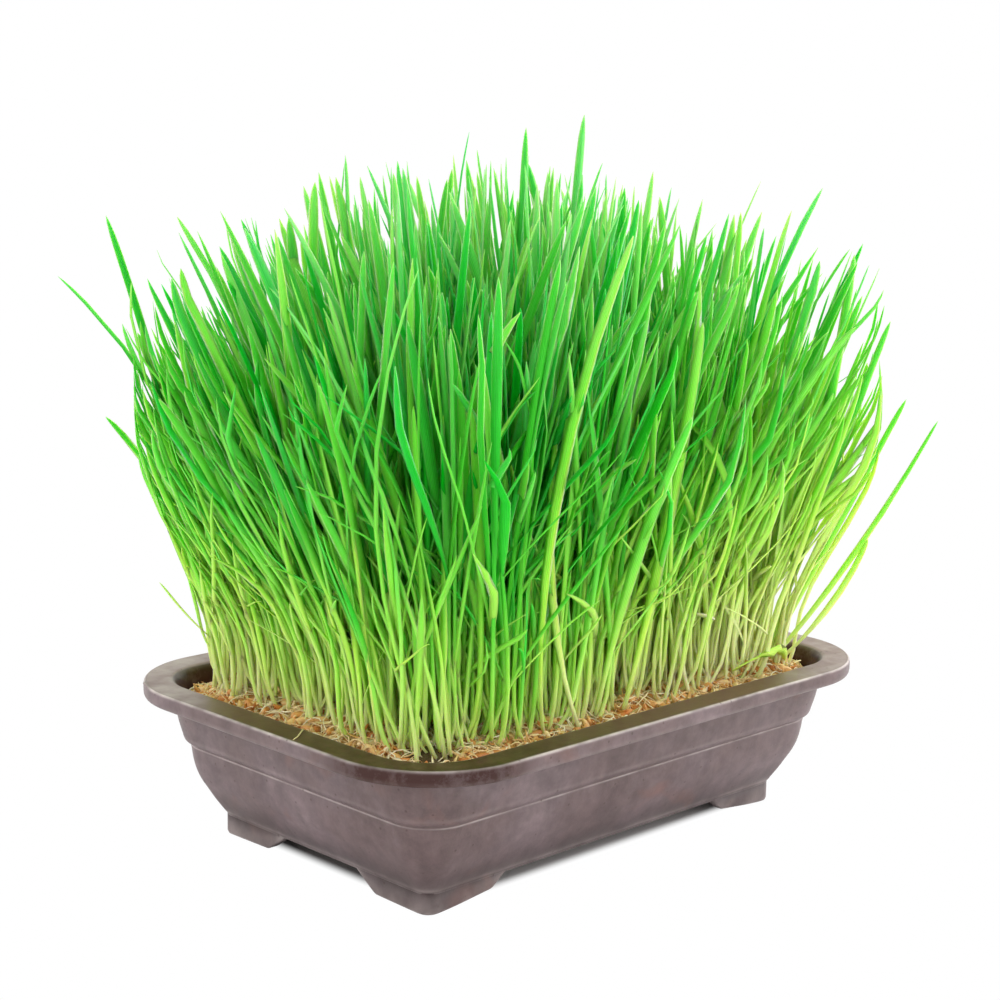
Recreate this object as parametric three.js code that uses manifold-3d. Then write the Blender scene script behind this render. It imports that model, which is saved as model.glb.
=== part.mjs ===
// A planted wheatgrass tray: a moulded plastic tray on four corner feet, the growing medium
// inside it, the mat of roots and sprouted seed on top, loose kernels, and the shoots in clumps.
// Millimetres, +Z up. The origin is on the surface the feet stand on, below the tray's centre.
import * as THREE from "three";
import { mergeVertices } from "three/addons/utils/BufferGeometryUtils.js";
import Module from "manifold-3d";

// Tray
const trayLength = 250;
const trayWidth = 178;
const trayHeight = 60.6;
const lipSkirtDepth = 5.8;
const wallThickness = 2.6;
const cornerSegments = 8;

// Feet and drain holes
const footHeight = 7.3;
const footInset = 31.6;
const footCornerRadius = 5.2;
const footWallThickness = 5;
const longSideFoot = { flatLength: 23, slopeLength: 14 };
const shortSideFoot = { flatLength: 26, slopeLength: 11.5 };
const drainHoleRadius = 4.5;
const drainHoleColumns = 3;
const drainHoleRows = 2;
const drainHoleSpacing = 48;

// What fills the tray, from the floor up
const contactGap = 0.3;
const floorTop = 10.3;
const mediumTop = 47;
const matTop = 55.3;

// Grass clumps, and the loose seed beside them
const clumpColumns = 7;
const clumpRows = 5;
const bladesAcrossClump = 3;
const plantedHalfLength = 103;
const plantedHalfWidth = 67.5;
const clumpClearance = 0.9;
const rootMargin = 0.5;
const crownHeight = 2.4;
const crownCorner = 4;
const bladeWidth = 5.2;
const stemWidth = 3.4;
const bladeThickness = 1.5;
const canopyTop = 250;
const frontRightSlope = 0.12;
const frontRightCurve = 0.0026;
const backLeftCurve = 0.0019;
const tallestTip = 268;
const reachX = 150;
const reachY = 114;
const fanReach = { left: 13, right: 22, back: 14, front: 19 };
const fanStart = { left: 34, right: 13, back: 34, front: 13 };
const fanRun = 85;
const swayReach = 3.5;
const widestOutward = 50;
const tallestSpread = 1.2;
const edgeHeightShare = 0.93;
const middleColumn = (clumpColumns - 1) / 2;
const middleRow = (clumpRows - 1) / 2;
const kernelLength = 6.6;
const kernelWidth = 3.2;
const kernelCount = 8;

// Finishes
const plastic = { color: 0x6b5c5c, roughness: 0.55, metalness: 0 };
const dampSoil = { color: 0x3a2618, roughness: 0.95, metalness: 0 };
const rootsAndSeed = { color: 0xb98a55, roughness: 0.9, metalness: 0 };
const wheatKernel = { color: 0xc98d4e, roughness: 0.6, metalness: 0 };
const youngLeaf = { color: 0x4fae3a, roughness: 0.5, metalness: 0 };

const wasm = await Module();
wasm.setup();

// A repeatable spread of numbers between 0 and 1, the same in every run.
function makeRandom(seed) {
  let state = seed;
  return () => {
    state = (state * 1664525 + 1013904223) % 4294967296;
    return state / 4294967296;
  };
}

// Closed mesh to solid, with the shared vertices merged first.
function toSolid(geometry) {
  const bare = geometry.clone();
  bare.deleteAttribute("normal");
  bare.deleteAttribute("uv");
  const merged = mergeVertices(bare, 1e-4);
  const vertProperties = new Float32Array(merged.attributes.position.array);
  const triVerts = new Uint32Array(merged.index.array);
  return new wasm.Manifold(new wasm.Mesh({ numProp: 3, vertProperties, triVerts }));
}

// Solid back to a three.js geometry.
function toGeometry(solid) {
  const mesh = solid.getMesh();
  const geometry = new THREE.BufferGeometry();
  geometry.setAttribute("position", new THREE.BufferAttribute(mesh.vertProperties, mesh.numProp));
  geometry.setIndex(new THREE.BufferAttribute(mesh.triVerts, 1));
  geometry.computeVertexNormals();
  return geometry;
}

// The tray's plan at one level: a rectangle set in from the rim, with its corners rounded.
function planRing({ inset, z, radius }) {
  const halfLength = trayLength / 2 - inset;
  const halfWidth = trayWidth / 2 - inset;
  const points = [];
  for (let corner = 0; corner < 4; corner += 1) {
    const signX = corner === 0 || corner === 3 ? 1 : -1;
    const signY = corner < 2 ? 1 : -1;
    const centreX = signX * (halfLength - radius);
    const centreY = signY * (halfWidth - radius);
    for (let step = 0; step <= cornerSegments; step += 1) {
      const angle = (corner + step / cornerSegments) * Math.PI / 2;
      points.push([centreX + radius * Math.cos(angle), centreY + radius * Math.sin(angle), z]);
    }
  }
  return points;
}

// A skin through rings with equal point counts. It closes on a flat fan at each end,
// or, as a loop, from the last ring back to the first.
function loft(rings, isLoop = false) {
  const count = rings[0].length;
  const positions = rings.flat(2);
  const index = [];
  const bands = isLoop ? rings.length : rings.length - 1;
  for (let band = 0; band < bands; band += 1) {
    const low = band * count;
    const high = ((band + 1) % rings.length) * count;
    for (let k = 0; k < count; k += 1) {
      const next = (k + 1) % count;
      index.push(low + k, low + next, high + next);
      index.push(low + k, high + next, high + k);
    }
  }
  if (!isLoop) {
    const last = (rings.length - 1) * count;
    for (let k = 1; k < count - 1; k += 1) {
      index.push(0, k + 1, k);
      index.push(last, last + k, last + k + 1);
    }
  }
  const geometry = new THREE.BufferGeometry();
  geometry.setAttribute("position", new THREE.Float32BufferAttribute(positions, 3));
  geometry.setIndex(index);
  return geometry;
}

// The tray's inner face from the floor to the rim's mouth, as insets from the rim's outer edge.
const innerWall = [
  { inset: 33.6, z: floorTop, radius: 5 },
  { inset: 29.8, z: 15, radius: 8 },
  { inset: 25, z: 22, radius: 11.5 },
  { inset: 22.2, z: 30, radius: 14 },
  { inset: 19.2, z: 38.2, radius: 17 },
  { inset: 17.2, z: 46, radius: 18.5 },
  { inset: 14.9, z: 55.5, radius: 20.6 },
  { inset: 14, z: trayHeight - 2.4, radius: 21.5 },
  { inset: 12.6, z: trayHeight - 0.6, radius: 22.9 },
  { inset: 11.2, z: trayHeight, radius: 24.3 },
];

// Where a plane at height z meets the inner face.
function innerWallAt(z) {
  const upper = innerWall.findIndex((level) => level.z >= z);
  const above = innerWall[Math.max(upper, 1)];
  const below = innerWall[Math.max(upper, 1) - 1];
  const share = (z - below.z) / (above.z - below.z);
  const inset = THREE.MathUtils.lerp(below.inset, above.inset, share);
  const radius = THREE.MathUtils.lerp(below.radius, above.radius, share);
  return { inset, z, radius };
}

// Tray shell: the ogee wall below, a ledge, the upright band, and the wide turned-down lip.
function trayShell() {
  const skirtBottom = trayHeight - lipSkirtDepth;
  const lipUnderside = trayHeight - wallThickness;
  const outerWall = [
    { inset: footInset - 0.2, z: footHeight, radius: 5.6 },
    { inset: footInset - 1.2, z: 8.6, radius: 6.4 },
    { inset: 29.2, z: 11, radius: 7.5 },
    { inset: 27, z: 14.8, radius: 9 },
    { inset: 24.6, z: 18.6, radius: 11 },
    { inset: 22.3, z: 22, radius: 13 },
    { inset: 20.7, z: 26, radius: 14.5 },
    { inset: 19.6, z: 30.4, radius: 15.6 },
    { inset: 19, z: 34.4, radius: 16.3 },
    { inset: 18.4, z: 35.6, radius: 16.8 },
    { inset: 16.9, z: 37.6, radius: 17.8 },
    { inset: 16.3, z: 38.6, radius: 18.1 },
    { inset: 14.6, z: 46, radius: 19.4 },
    { inset: 12.4, z: lipUnderside, radius: 22 },
    { inset: wallThickness, z: lipUnderside, radius: 37.2 },
    { inset: wallThickness, z: skirtBottom, radius: 37.2 },
    { inset: 1.2, z: skirtBottom, radius: 38.6 },
    { inset: 0, z: skirtBottom + 1.4, radius: 39.8 },
    { inset: 0, z: trayHeight - 0.8, radius: 39.8 },
    { inset: 0.8, z: trayHeight, radius: 39 },
  ];
  const levels = [...outerWall, ...[...innerWall].reverse()];
  return toSolid(loft(levels.map(planRing)));
}

// The four feet: a foot ring under the wall, cut away between the corners with sloped ends.
function cornerFeet() {
  const bottomChamfer = 1.1;
  const top = footHeight + 2;
  const inner = footInset + footWallThickness;
  const ring = toSolid(loft([
    planRing({ inset: inner, z: 0, radius: 2 }),
    planRing({ inset: footInset + bottomChamfer, z: 0, radius: footCornerRadius - bottomChamfer }),
    planRing({ inset: footInset, z: bottomChamfer, radius: footCornerRadius }),
    planRing({ inset: footInset - 0.2, z: footHeight, radius: footCornerRadius + 0.4 }),
    planRing({ inset: footInset, z: top, radius: footCornerRadius }),
    planRing({ inset: inner, z: top, radius: 2 }),
  ], true));
  const underLongSides = archBetweenFeet(trayLength / 2 - footInset, longSideFoot, false);
  const underShortSides = archBetweenFeet(trayWidth / 2 - footInset, shortSideFoot, true);
  return ring.subtract(underLongSides).subtract(underShortSides);
}

// The arch's outline is wide at the surface and narrower where it meets the tray's floor.
function archBetweenFeet(halfSpan, foot, turned) {
  const wide = halfSpan - foot.flatLength;
  const narrow = wide - foot.slopeLength;
  const slope = foot.slopeLength / footHeight;
  const outline = new THREE.Shape([
    new THREE.Vector2(-wide - slope, -1),
    new THREE.Vector2(wide + slope, -1),
    new THREE.Vector2(narrow, footHeight),
    new THREE.Vector2(narrow, footHeight + 4),
    new THREE.Vector2(-narrow, footHeight + 4),
    new THREE.Vector2(-narrow, footHeight),
  ]);
  const prism = new THREE.ExtrudeGeometry(outline, { depth: trayLength, bevelEnabled: false });
  prism.translate(0, 0, -trayLength / 2);
  prism.rotateX(Math.PI / 2);
  if (turned) {
    prism.rotateZ(Math.PI / 2);
  }
  return toSolid(prism);
}

function makeTray() {
  let tray = trayShell().add(cornerFeet());
  for (let column = 0; column < drainHoleColumns; column += 1) {
    for (let row = 0; row < drainHoleRows; row += 1) {
      const hole = new THREE.CylinderGeometry(drainHoleRadius, drainHoleRadius, 3 * footHeight, 12);
      hole.rotateX(Math.PI / 2);
      const x = (column - (drainHoleColumns - 1) / 2) * drainHoleSpacing;
      const y = (row - (drainHoleRows - 1) / 2) * drainHoleSpacing;
      hole.translate(x, y, footHeight);
      tray = tray.subtract(toSolid(hole));
    }
  }
  return toGeometry(tray);
}

// A filling between two heights, kept clear of the tray's inner face.
function makeFilling(bottom, top) {
  const inside = innerWall.map((level) => level.z).filter((z) => z > bottom + 1 && z < top - 1);
  const levels = [bottom, ...inside, top].map(innerWallAt);
  return loft(levels.map(({ inset, z, radius }) => (
    planRing({ inset: inset + 1.6 * contactGap, z, radius })
  )));
}

// How far one edge of the stand has leaned out at a height above the mat.
function fanAt(side, height) {
  return fanReach[side] * THREE.MathUtils.smoothstep(height, fanStart[side], fanStart[side] + fanRun);
}

// Planted place and height to a place in space. Neighbours keep their order at every height,
// so clumps that start apart stay apart: the edges fan out and the whole stand sways a little.
function leanedPlace(plantedX, plantedY, height) {
  const outX = Math.sign(plantedX) * Math.pow(Math.abs(plantedX) / plantedHalfLength, 1.3);
  const outY = Math.sign(plantedY) * Math.pow(Math.abs(plantedY) / plantedHalfWidth, 1.3);
  const sway = swayReach * THREE.MathUtils.smoothstep(height, 0, 150);
  const fanX = fanAt(plantedX > 0 ? "right" : "left", height);
  const fanY = fanAt(plantedY > 0 ? "back" : "front", height);
  const x = plantedX + fanX * outX + sway * Math.sin(plantedY / 29 + 1.3);
  const y = plantedY + fanY * outY + sway * Math.sin(plantedX / 34 + 0.4);
  return new THREE.Vector3(x, y, matTop + height);
}

// One blade: a three-sided section, narrow as a stem, widest below the middle, and a pointed tip.
function makeBlade({ rootX, rootY, driftX, driftY, length, turn, reach }) {
  const stations = [
    { share: 0, width: stemWidth },
    { share: 0.38, width: stemWidth + 0.8 },
    { share: 0.74, width: bladeWidth },
  ];
  const rings = stations.map(({ share, width }) => {
    const centre = leanedPlace(rootX + driftX * share, rootY + driftY * share, 0.8 + length * share);
    const insideX = reachX - bladeWidth;
    const insideY = reachY - bladeWidth;
    centre.x = THREE.MathUtils.clamp(centre.x + reach.x * share * share, -insideX, insideX);
    centre.y = THREE.MathUtils.clamp(centre.y + reach.y * share * share, -insideY, insideY);
    const alongX = Math.cos(turn) * width / 2;
    const alongY = Math.sin(turn) * width / 2;
    const foldX = -Math.sin(turn) * bladeThickness;
    const foldY = Math.cos(turn) * bladeThickness;
    return [
      [centre.x - alongX, centre.y - alongY, centre.z],
      [centre.x + foldX, centre.y + foldY, centre.z],
      [centre.x + alongX, centre.y + alongY, centre.z],
    ].reverse();
  });
  const tip = leanedPlace(rootX + driftX, rootY + driftY, length);
  tip.x = THREE.MathUtils.clamp(tip.x + reach.x, -reachX, reachX);
  tip.y = THREE.MathUtils.clamp(tip.y + reach.y, -reachY, reachY);
  tip.z = Math.min(tip.z, tallestTip);
  const positions = [...rings.flat(2), tip.x, tip.y, tip.z];
  const index = [2, 1, 0];
  for (let band = 0; band < rings.length - 1; band += 1) {
    for (let side = 0; side < 3; side += 1) {
      const a = band * 3 + side;
      const b = band * 3 + (side + 1) % 3;
      index.push(a, b, b + 3);
      index.push(a, b + 3, a + 3);
    }
  }
  const last = (rings.length - 1) * 3;
  for (let side = 0; side < 3; side += 1) {
    index.push(last + side, last + (side + 1) % 3, last + 3);
  }
  const geometry = new THREE.BufferGeometry();
  geometry.setAttribute("position", new THREE.Float32BufferAttribute(positions, 3));
  geometry.setIndex(index);
  return toSolid(geometry);
}

// The clump's crown: a low pad of knitted roots and seed, which its shoots grow out of.
function makeCrown(centreX, centreY, halfX, halfY) {
  const ring = (shrink, z) => {
    const x = halfX - shrink;
    const y = halfY - shrink;
    const innerX = x - crownCorner;
    const innerY = y - crownCorner;
    const outline = [
      [x, innerY], [innerX, y], [-innerX, y], [-x, innerY],
      [-x, -innerY], [-innerX, -y], [innerX, -y], [x, -innerY],
    ];
    return outline.map(([dx, dy]) => [centreX + dx, centreY + dy, z]);
  };
  return toSolid(loft([
    ring(0, matTop + contactGap),
    ring(0, matTop + contactGap + crownHeight * 0.5),
    ring(crownHeight, matTop + contactGap + crownHeight),
  ]));
}

// The stand is highest in the middle. Its top drops a little toward the back left corner,
// and more toward the front right one.
function topAbove(x, y) {
  const across = (x - y) * Math.SQRT1_2;
  if (across < 0) {
    return canopyTop - backLeftCurve * across * across;
  }
  return canopyTop - frontRightSlope * across - frontRightCurve * across * across;
}

function makeClump(column, row, random) {
  const cellX = 2 * plantedHalfLength / clumpColumns;
  const cellY = 2 * plantedHalfWidth / clumpRows;
  const centreX = (column + 0.5) * cellX - plantedHalfLength;
  const centreY = (row + 0.5) * cellY - plantedHalfWidth;
  let clump = makeCrown(centreX, centreY, cellX / 2 - clumpClearance, cellY / 2 - clumpClearance);
  const stepX = (cellX - 2 * clumpClearance) / bladesAcrossClump;
  const stepY = (cellY - 2 * clumpClearance) / bladesAcrossClump;
  const roomX = (stepX - bladeWidth) / 2 - rootMargin;
  const roomY = (stepY - bladeWidth) / 2 - rootMargin;
  const lastBlade = bladesAcrossClump - 1;
  const middleBlade = lastBlade / 2;
  for (let i = 0; i < bladesAcrossClump; i += 1) {
    for (let j = 0; j < bladesAcrossClump; j += 1) {
      const middleX = centreX + (i - middleBlade) * stepX;
      const middleY = centreY + (j - middleBlade) * stepY;
      const startX = roomX * (2 * random() - 1);
      const startY = roomY * (2 * random() - 1);
      const endX = roomX * (2 * random() - 1);
      const endY = roomY * (2 * random() - 1);
      const isOuterX = (column === 0 && i === 0) || (column === clumpColumns - 1 && i === lastBlade);
      const isOuterY = (row === 0 && j === 0) || (row === clumpRows - 1 && j === lastBlade);
      const isWidestX = isOuterX && row === middleRow && j === middleBlade;
      const isWidestY = isOuterY && column === middleColumn && i === middleBlade;
      const isCentreClump = row === middleRow && column === middleColumn;
      const isTallest = isCentreClump && i === middleBlade && j === middleBlade;
      const outward = isWidestX || isWidestY ? widestOutward : 4 + 24 * random();
      const spread = isTallest ? tallestSpread : 0.74 + 0.29 * random();
      const edgeShare = isOuterX || isOuterY ? edgeHeightShare : 1;
      const leaned = leanedPlace(middleX, middleY, canopyTop - matTop);
      const length = (topAbove(leaned.x, leaned.y) - matTop) * spread * edgeShare;
      clump = clump.add(makeBlade({
        rootX: middleX + startX,
        rootY: middleY + startY,
        driftX: endX - startX,
        driftY: endY - startY,
        length,
        turn: random() * Math.PI,
        reach: {
          x: isOuterX ? Math.sign(middleX) * outward : 0,
          y: isOuterY ? Math.sign(middleY) * outward : 0,
        },
      }));
    }
  }
  return toGeometry(clump);
}

// A wheat kernel: a plump grain, blunt at one end, lying flat on the mat.
function makeKernel() {
  const kernel = new THREE.SphereGeometry(0.5, 8, 6);
  kernel.rotateZ(Math.PI / 2);
  kernel.scale(kernelLength, kernelWidth, kernelWidth * 0.8);
  return kernel;
}

function addMesh(group, name, geometry, finish) {
  const mesh = new THREE.Mesh(geometry, new THREE.MeshStandardMaterial(finish));
  mesh.name = name;
  group.add(mesh);
  return mesh;
}

const wheatgrassTray = new THREE.Group();
addMesh(wheatgrassTray, "tray", makeTray(), plastic);
addMesh(wheatgrassTray, "growing_medium", makeFilling(floorTop + contactGap, mediumTop), dampSoil);
addMesh(wheatgrassTray, "root_mat", makeFilling(mediumTop + contactGap, matTop), rootsAndSeed);

const grass = new THREE.Group();
const random = makeRandom(20);
for (let row = 0; row < clumpRows; row += 1) {
  for (let column = 0; column < clumpColumns; column += 1) {
    addMesh(grass, `shoots_${row + 1}_${column + 1}`, makeClump(column, row, random), youngLeaf);
  }
}
wheatgrassTray.add(grass);

// Loose kernels lie in the strip between the clumps and the tray's wall, along the long sides.
const kernels = new THREE.Group();
for (let k = 0; k < kernelCount; k += 1) {
  const kernel = addMesh(kernels, `kernel_${k + 1}`, makeKernel(), wheatKernel);
  const side = k % 2 === 0 ? -1 : 1;
  const along = (k - (kernelCount - 1) / 2) * 2 * plantedHalfLength * 0.8 / kernelCount;
  kernel.position.set(along, side * (plantedHalfWidth + 2.6), matTop + contactGap + kernelWidth * 0.4);
  kernel.rotation.z = 0.25 * Math.sin(3 * k);
}
wheatgrassTray.add(kernels);

export default wheatgrassTray;
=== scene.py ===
import bpy
import numpy as np
from mathutils import Matrix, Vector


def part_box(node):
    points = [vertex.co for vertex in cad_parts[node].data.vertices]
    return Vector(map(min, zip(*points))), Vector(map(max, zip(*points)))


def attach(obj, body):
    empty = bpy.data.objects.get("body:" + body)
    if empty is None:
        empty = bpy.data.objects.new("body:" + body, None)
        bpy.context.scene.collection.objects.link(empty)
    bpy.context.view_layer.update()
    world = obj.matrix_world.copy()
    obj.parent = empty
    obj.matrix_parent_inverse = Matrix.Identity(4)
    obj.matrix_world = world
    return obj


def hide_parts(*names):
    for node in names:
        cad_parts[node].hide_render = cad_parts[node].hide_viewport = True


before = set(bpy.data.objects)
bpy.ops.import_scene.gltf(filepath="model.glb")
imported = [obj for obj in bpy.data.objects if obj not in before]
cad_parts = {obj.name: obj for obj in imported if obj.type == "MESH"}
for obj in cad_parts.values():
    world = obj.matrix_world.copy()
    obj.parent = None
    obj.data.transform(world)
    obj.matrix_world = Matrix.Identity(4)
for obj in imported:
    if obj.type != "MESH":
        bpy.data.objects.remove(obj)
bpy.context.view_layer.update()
mm = 0.001
seeds = {"wobble": 3, "lumps": 5, "smallLumps": 6, "kernels": 11, "husks": 21, "roots": 31,
         "shoots": 41, "gaps": 97}


def cornersOf(nodeName):
    # the lowest and highest corners of a solid's box, in millimetres
    return [np.array(corner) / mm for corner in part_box(nodeName)]


trayLow, trayHigh = cornersOf("tray")
matLow, matHigh = cornersOf("root_mat")
rimZ = trayHigh[2]


def linear(hexColour):
    # sRGB hex to linear light, channel by channel
    parts = np.array([int(hexColour[i:i + 2], 16) for i in (1, 3, 5)]) / 255
    values = np.where(parts <= 0.04045, parts / 12.92, ((parts + 0.055) / 1.055) ** 2.4)
    return (*[float(v) for v in values], 1.0)


def outputOf(source):
    # a node stands for its first output
    return source.outputs[0] if hasattr(source, "outputs") else source


def addNode(tree, kind, values=None, links=None, **settings):
    # one shader node: python settings, then socket values, then links from other nodes or their outputs
    node = tree.nodes.new("ShaderNode" + kind)
    for key, value in settings.items():
        setattr(node, key, value)
    for key, value in (values or {}).items():
        node.inputs[key].default_value = value
    for key, source in (links or {}).items():
        tree.links.new(outputOf(source), node.inputs[key])
    return node


def setRamp(rampNode, stops):
    # stops are pairs of position and sRGB hex colour
    elements = rampNode.color_ramp.elements
    while len(elements) > 1:
        elements.remove(elements[-1])
    elements[0].position = stops[0][0]
    elements[0].color = linear(stops[0][1])
    for position, colour in stops[1:]:
        elements.new(position).color = linear(colour)


def fromTo(fromMin, fromMax, toMin=0.0, toMax=1.0):
    # a Map Range node's values
    return {"From Min": fromMin, "From Max": fromMax, "To Min": toMin, "To Max": toMax}


def newMaterial(name):
    # a material with nothing but its shader and its output
    material = bpy.data.materials.new(name)
    material.use_nodes = True
    tree = material.node_tree
    tree.nodes.clear()
    shader = addNode(tree, "BsdfPrincipled")
    addNode(tree, "OutputMaterial", links={"Surface": shader})
    return material, tree, shader


def finishSurface(tree, shader, colour, height, bumpValues, values):
    # the surface's colour, its bump from a height, and the values that are the same all over it
    bump = addNode(tree, "Bump", bumpValues, {"Height": height})
    tree.links.new(outputOf(colour), shader.inputs["Base Color"])
    tree.links.new(bump.outputs["Normal"], shader.inputs["Normal"])
    for key, value in values.items():
        shader.inputs[key].default_value = value


def addMesh(name, points, faces, material, smooth=True):
    # a new piece at the origin, from points in metres
    mesh = bpy.data.meshes.new(name)
    mesh.from_pydata(np.asarray(points, dtype=float).tolist(), [], faces)
    mesh.polygons.foreach_set("use_smooth", np.full(len(mesh.polygons), smooth))
    mesh.materials.append(material)
    mesh.update()
    piece = bpy.data.objects.new(name, mesh)
    bpy.context.collection.objects.link(piece)
    return piece


def smoothStep(x):
    # three times x squared less twice x cubed, from 0 to 1
    x = np.clip(x, 0, 1)
    return x * x * (3 - 2 * x)


def fadeIn(value, start, run):
    # 0 up to the start, 1 from a run beyond it, and smooth between
    return smoothStep((value - start) / run)


def softNoise(x, y, seed, size):
    # smooth uneven height in -2..2, mostly within 1: a quarter of the sum of eight sine waves
    # with random headings and wavelengths near the size
    draw = np.random.default_rng(seed)
    total = np.zeros_like(np.asarray(x, dtype=float))
    for _ in range(8):
        angle, phase = draw.uniform(0, 2 * np.pi, 2)
        wave = 2 * np.pi / (size * draw.uniform(0.7, 1.5))
        total += np.sin(wave * (x * np.cos(angle) + y * np.sin(angle)) + phase)
    return total / 4


def ringQuads(ringCount, around):
    # the faces between closed rings of points that follow one another
    ring, step = np.meshgrid(np.arange(ringCount - 1), np.arange(around), indexing="ij")
    a = ring * around + step
    b = ring * around + (step + 1) % around
    return np.stack([a, b, b + around, a + around], axis=-1).reshape(-1, 4)


def closedTubes(centre, side, up, halfWidth, halfDepth, fold, sectionCount):
    # N closed tubes at once. Ring m of tube n has its points at
    # centre + cos(a) halfWidth side + (sin(a) halfDepth + |cos(a)| fold) up, for a round the section,
    # and each end closes on the middle of its ring. Faces point outwards where side x up runs along the tube.
    angles = np.arange(sectionCount)[:, None] * 2 * np.pi / sectionCount
    across = np.cos(angles)
    width, depth, lift = [value[:, :, None, None] for value in (halfWidth, halfDepth, fold)]
    rings = (centre[:, :, None] + across * width * side[:, :, None]
             + (np.sin(angles) * depth + np.abs(across) * lift) * up[:, :, None])
    tubeCount, ringCount = centre.shape[:2]
    points = np.concatenate([rings.reshape(tubeCount, -1, 3), centre[:, :1], centre[:, -1:]], axis=1)
    perTube = ringCount * sectionCount + 2
    lastRing = (ringCount - 1) * sectionCount
    step = np.arange(sectionCount)
    following = (step + 1) % sectionCount
    startCap = np.stack([following, step, np.full(sectionCount, perTube - 2)], axis=-1)
    endCap = np.stack([lastRing + step, lastRing + following, np.full(sectionCount, perTube - 1)], axis=-1)
    offsets = (np.arange(tubeCount) * perTube)[:, None, None]
    quads = (ringQuads(ringCount, sectionCount) + offsets).reshape(-1, 4)
    caps = (np.concatenate([startCap, endCap]) + offsets).reshape(-1, 3)
    return points.reshape(-1, 3), quads.tolist() + caps.tolist()


def tubeValues(values, ringCount, sectionCount):
    # values per tube or per ring, repeated for every point in closedTubes' order
    perRing = np.broadcast_to(values, (len(values), ringCount))
    rings = np.repeat(perRing, sectionCount, axis=1)
    return np.concatenate([rings, perRing[:, :1], perRing[:, -1:]], axis=1).reshape(-1)


def addPointColours(piece, name, *channels):
    # up to three values per point, in a colour attribute's red, green and blue
    values = np.zeros((len(channels[0]), 4), dtype=np.float32)
    values[:, :len(channels)] = np.stack(channels, axis=-1)
    values[:, 3] = 1
    layer = piece.data.color_attributes.new(name, "FLOAT_COLOR", "POINT")
    layer.data.foreach_set("color", values.reshape(-1))


def settle(piece, slotName, *nodes):
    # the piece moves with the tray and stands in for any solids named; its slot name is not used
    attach(piece, "root")
    if nodes:
        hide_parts(*nodes)


# millimetres; a run is where something starts to show and over how far it comes in
traySpec = {
    "length": trayHigh[0] - trayLow[0],
    "width": trayHigh[1] - trayLow[1],
    "cornerSteps": 18,
    "sideSteps": 26,
    "wobble": 0.16,
    "wobbleSize": 70,
    "flashSpot": (-121.5, 66),
    "flashSpread": 5,
    "flashUp": 1.1,
    "flashOut": 0.8,
    "footInset": 31.6,
    "footHeight": 7.3,
    "footRadius": 5.2,
    # a foot's arm: how far it stays flat, how long its end slopes, and how far it lifts before the slope
    "longFoot": (30, 7, 2.4),
    "shortFoot": (26.5, 11, 0.4),
    "turnSteps": 13,
    "drainRadius": 4.5,
    "drainSpacing": 48,
    "drainSides": 32,
    "drainCut": (2, 16),
    "drainTurn": 0.1,
    "lipTopRun": (0.6, 0.8),
    # painted shade and dark reflection near the front corner: on the lip's face, the lip's top and the band
    # under it
    "faceShadeRun": (112, 16),
    "topShadeRun": (55, 75),
    "topShade": 0.82,
    "bandShadeRun": (122, 20),
    "bandShade": 0.32,
    # painted reflection of the white backdrop on the lip's top at its two side corners
    "cornerSheenRun": (92, 32),
    "cornerSheen": 0.5,
    # the pale marks, painted highlight lines with them, are weaker at the front corner
    "frontPaleCutRun": (108, 20),
    "frontPaleCut": 0.5,
}


def planRings(inset, radius):
    # rounded rectangles, one per inset and corner radius, with every side and corner split evenly
    inset = np.asarray(inset, dtype=float)[:, None]
    radius = np.asarray(radius, dtype=float)[:, None]
    halfX = traySpec["length"] / 2 - inset
    halfY = traySpec["width"] / 2 - inset
    arc = np.linspace(0, 1, traySpec["cornerSteps"] + 1)[None, :]
    run = np.linspace(0, 1, traySpec["sideSteps"] + 1)[None, 1:-1]
    columns = []
    signs = [(1, 1), (-1, 1), (-1, -1), (1, -1)]
    for corner, (signX, signY) in enumerate(signs):
        angle = (corner + arc) * np.pi / 2
        centreX = signX * (halfX - radius)
        centreY = signY * (halfY - radius)
        columns.append(np.stack([centreX + radius * np.cos(angle), centreY + radius * np.sin(angle)], -1))
        nextX, nextY = signs[(corner + 1) % 4]
        turn = (corner + 1) * np.pi / 2
        startX = centreX + radius * np.cos(turn)
        startY = centreY + radius * np.sin(turn)
        endX = nextX * (halfX - radius) + radius * np.cos(turn)
        endY = nextY * (halfY - radius) + radius * np.sin(turn)
        columns.append(np.stack([startX + (endX - startX) * run, startY + (endY - startY) * run], -1))
    return np.concatenate(columns, axis=1)


def smoothCurve(points, steps):
    # Catmull-Rom curve through the points
    points = np.asarray(points, dtype=float)
    padded = np.concatenate([2 * points[:1] - points[1:2], points, 2 * points[-1:] - points[-2:-1]])
    t = np.arange(steps)[None, :, None] / steps
    p0, p1, p2, p3 = [padded[k:k + len(points) - 1][:, None, :] for k in range(4)]
    curve = 0.5 * (2 * p1 + (p2 - p0) * t + (2 * p0 - 5 * p1 + 4 * p2 - p3) * t ** 2
                   + (3 * p1 - p0 - 3 * p2 + p3) * t ** 3)
    return np.concatenate([curve.reshape(-1, points.shape[1]), points[-1:]])


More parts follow.
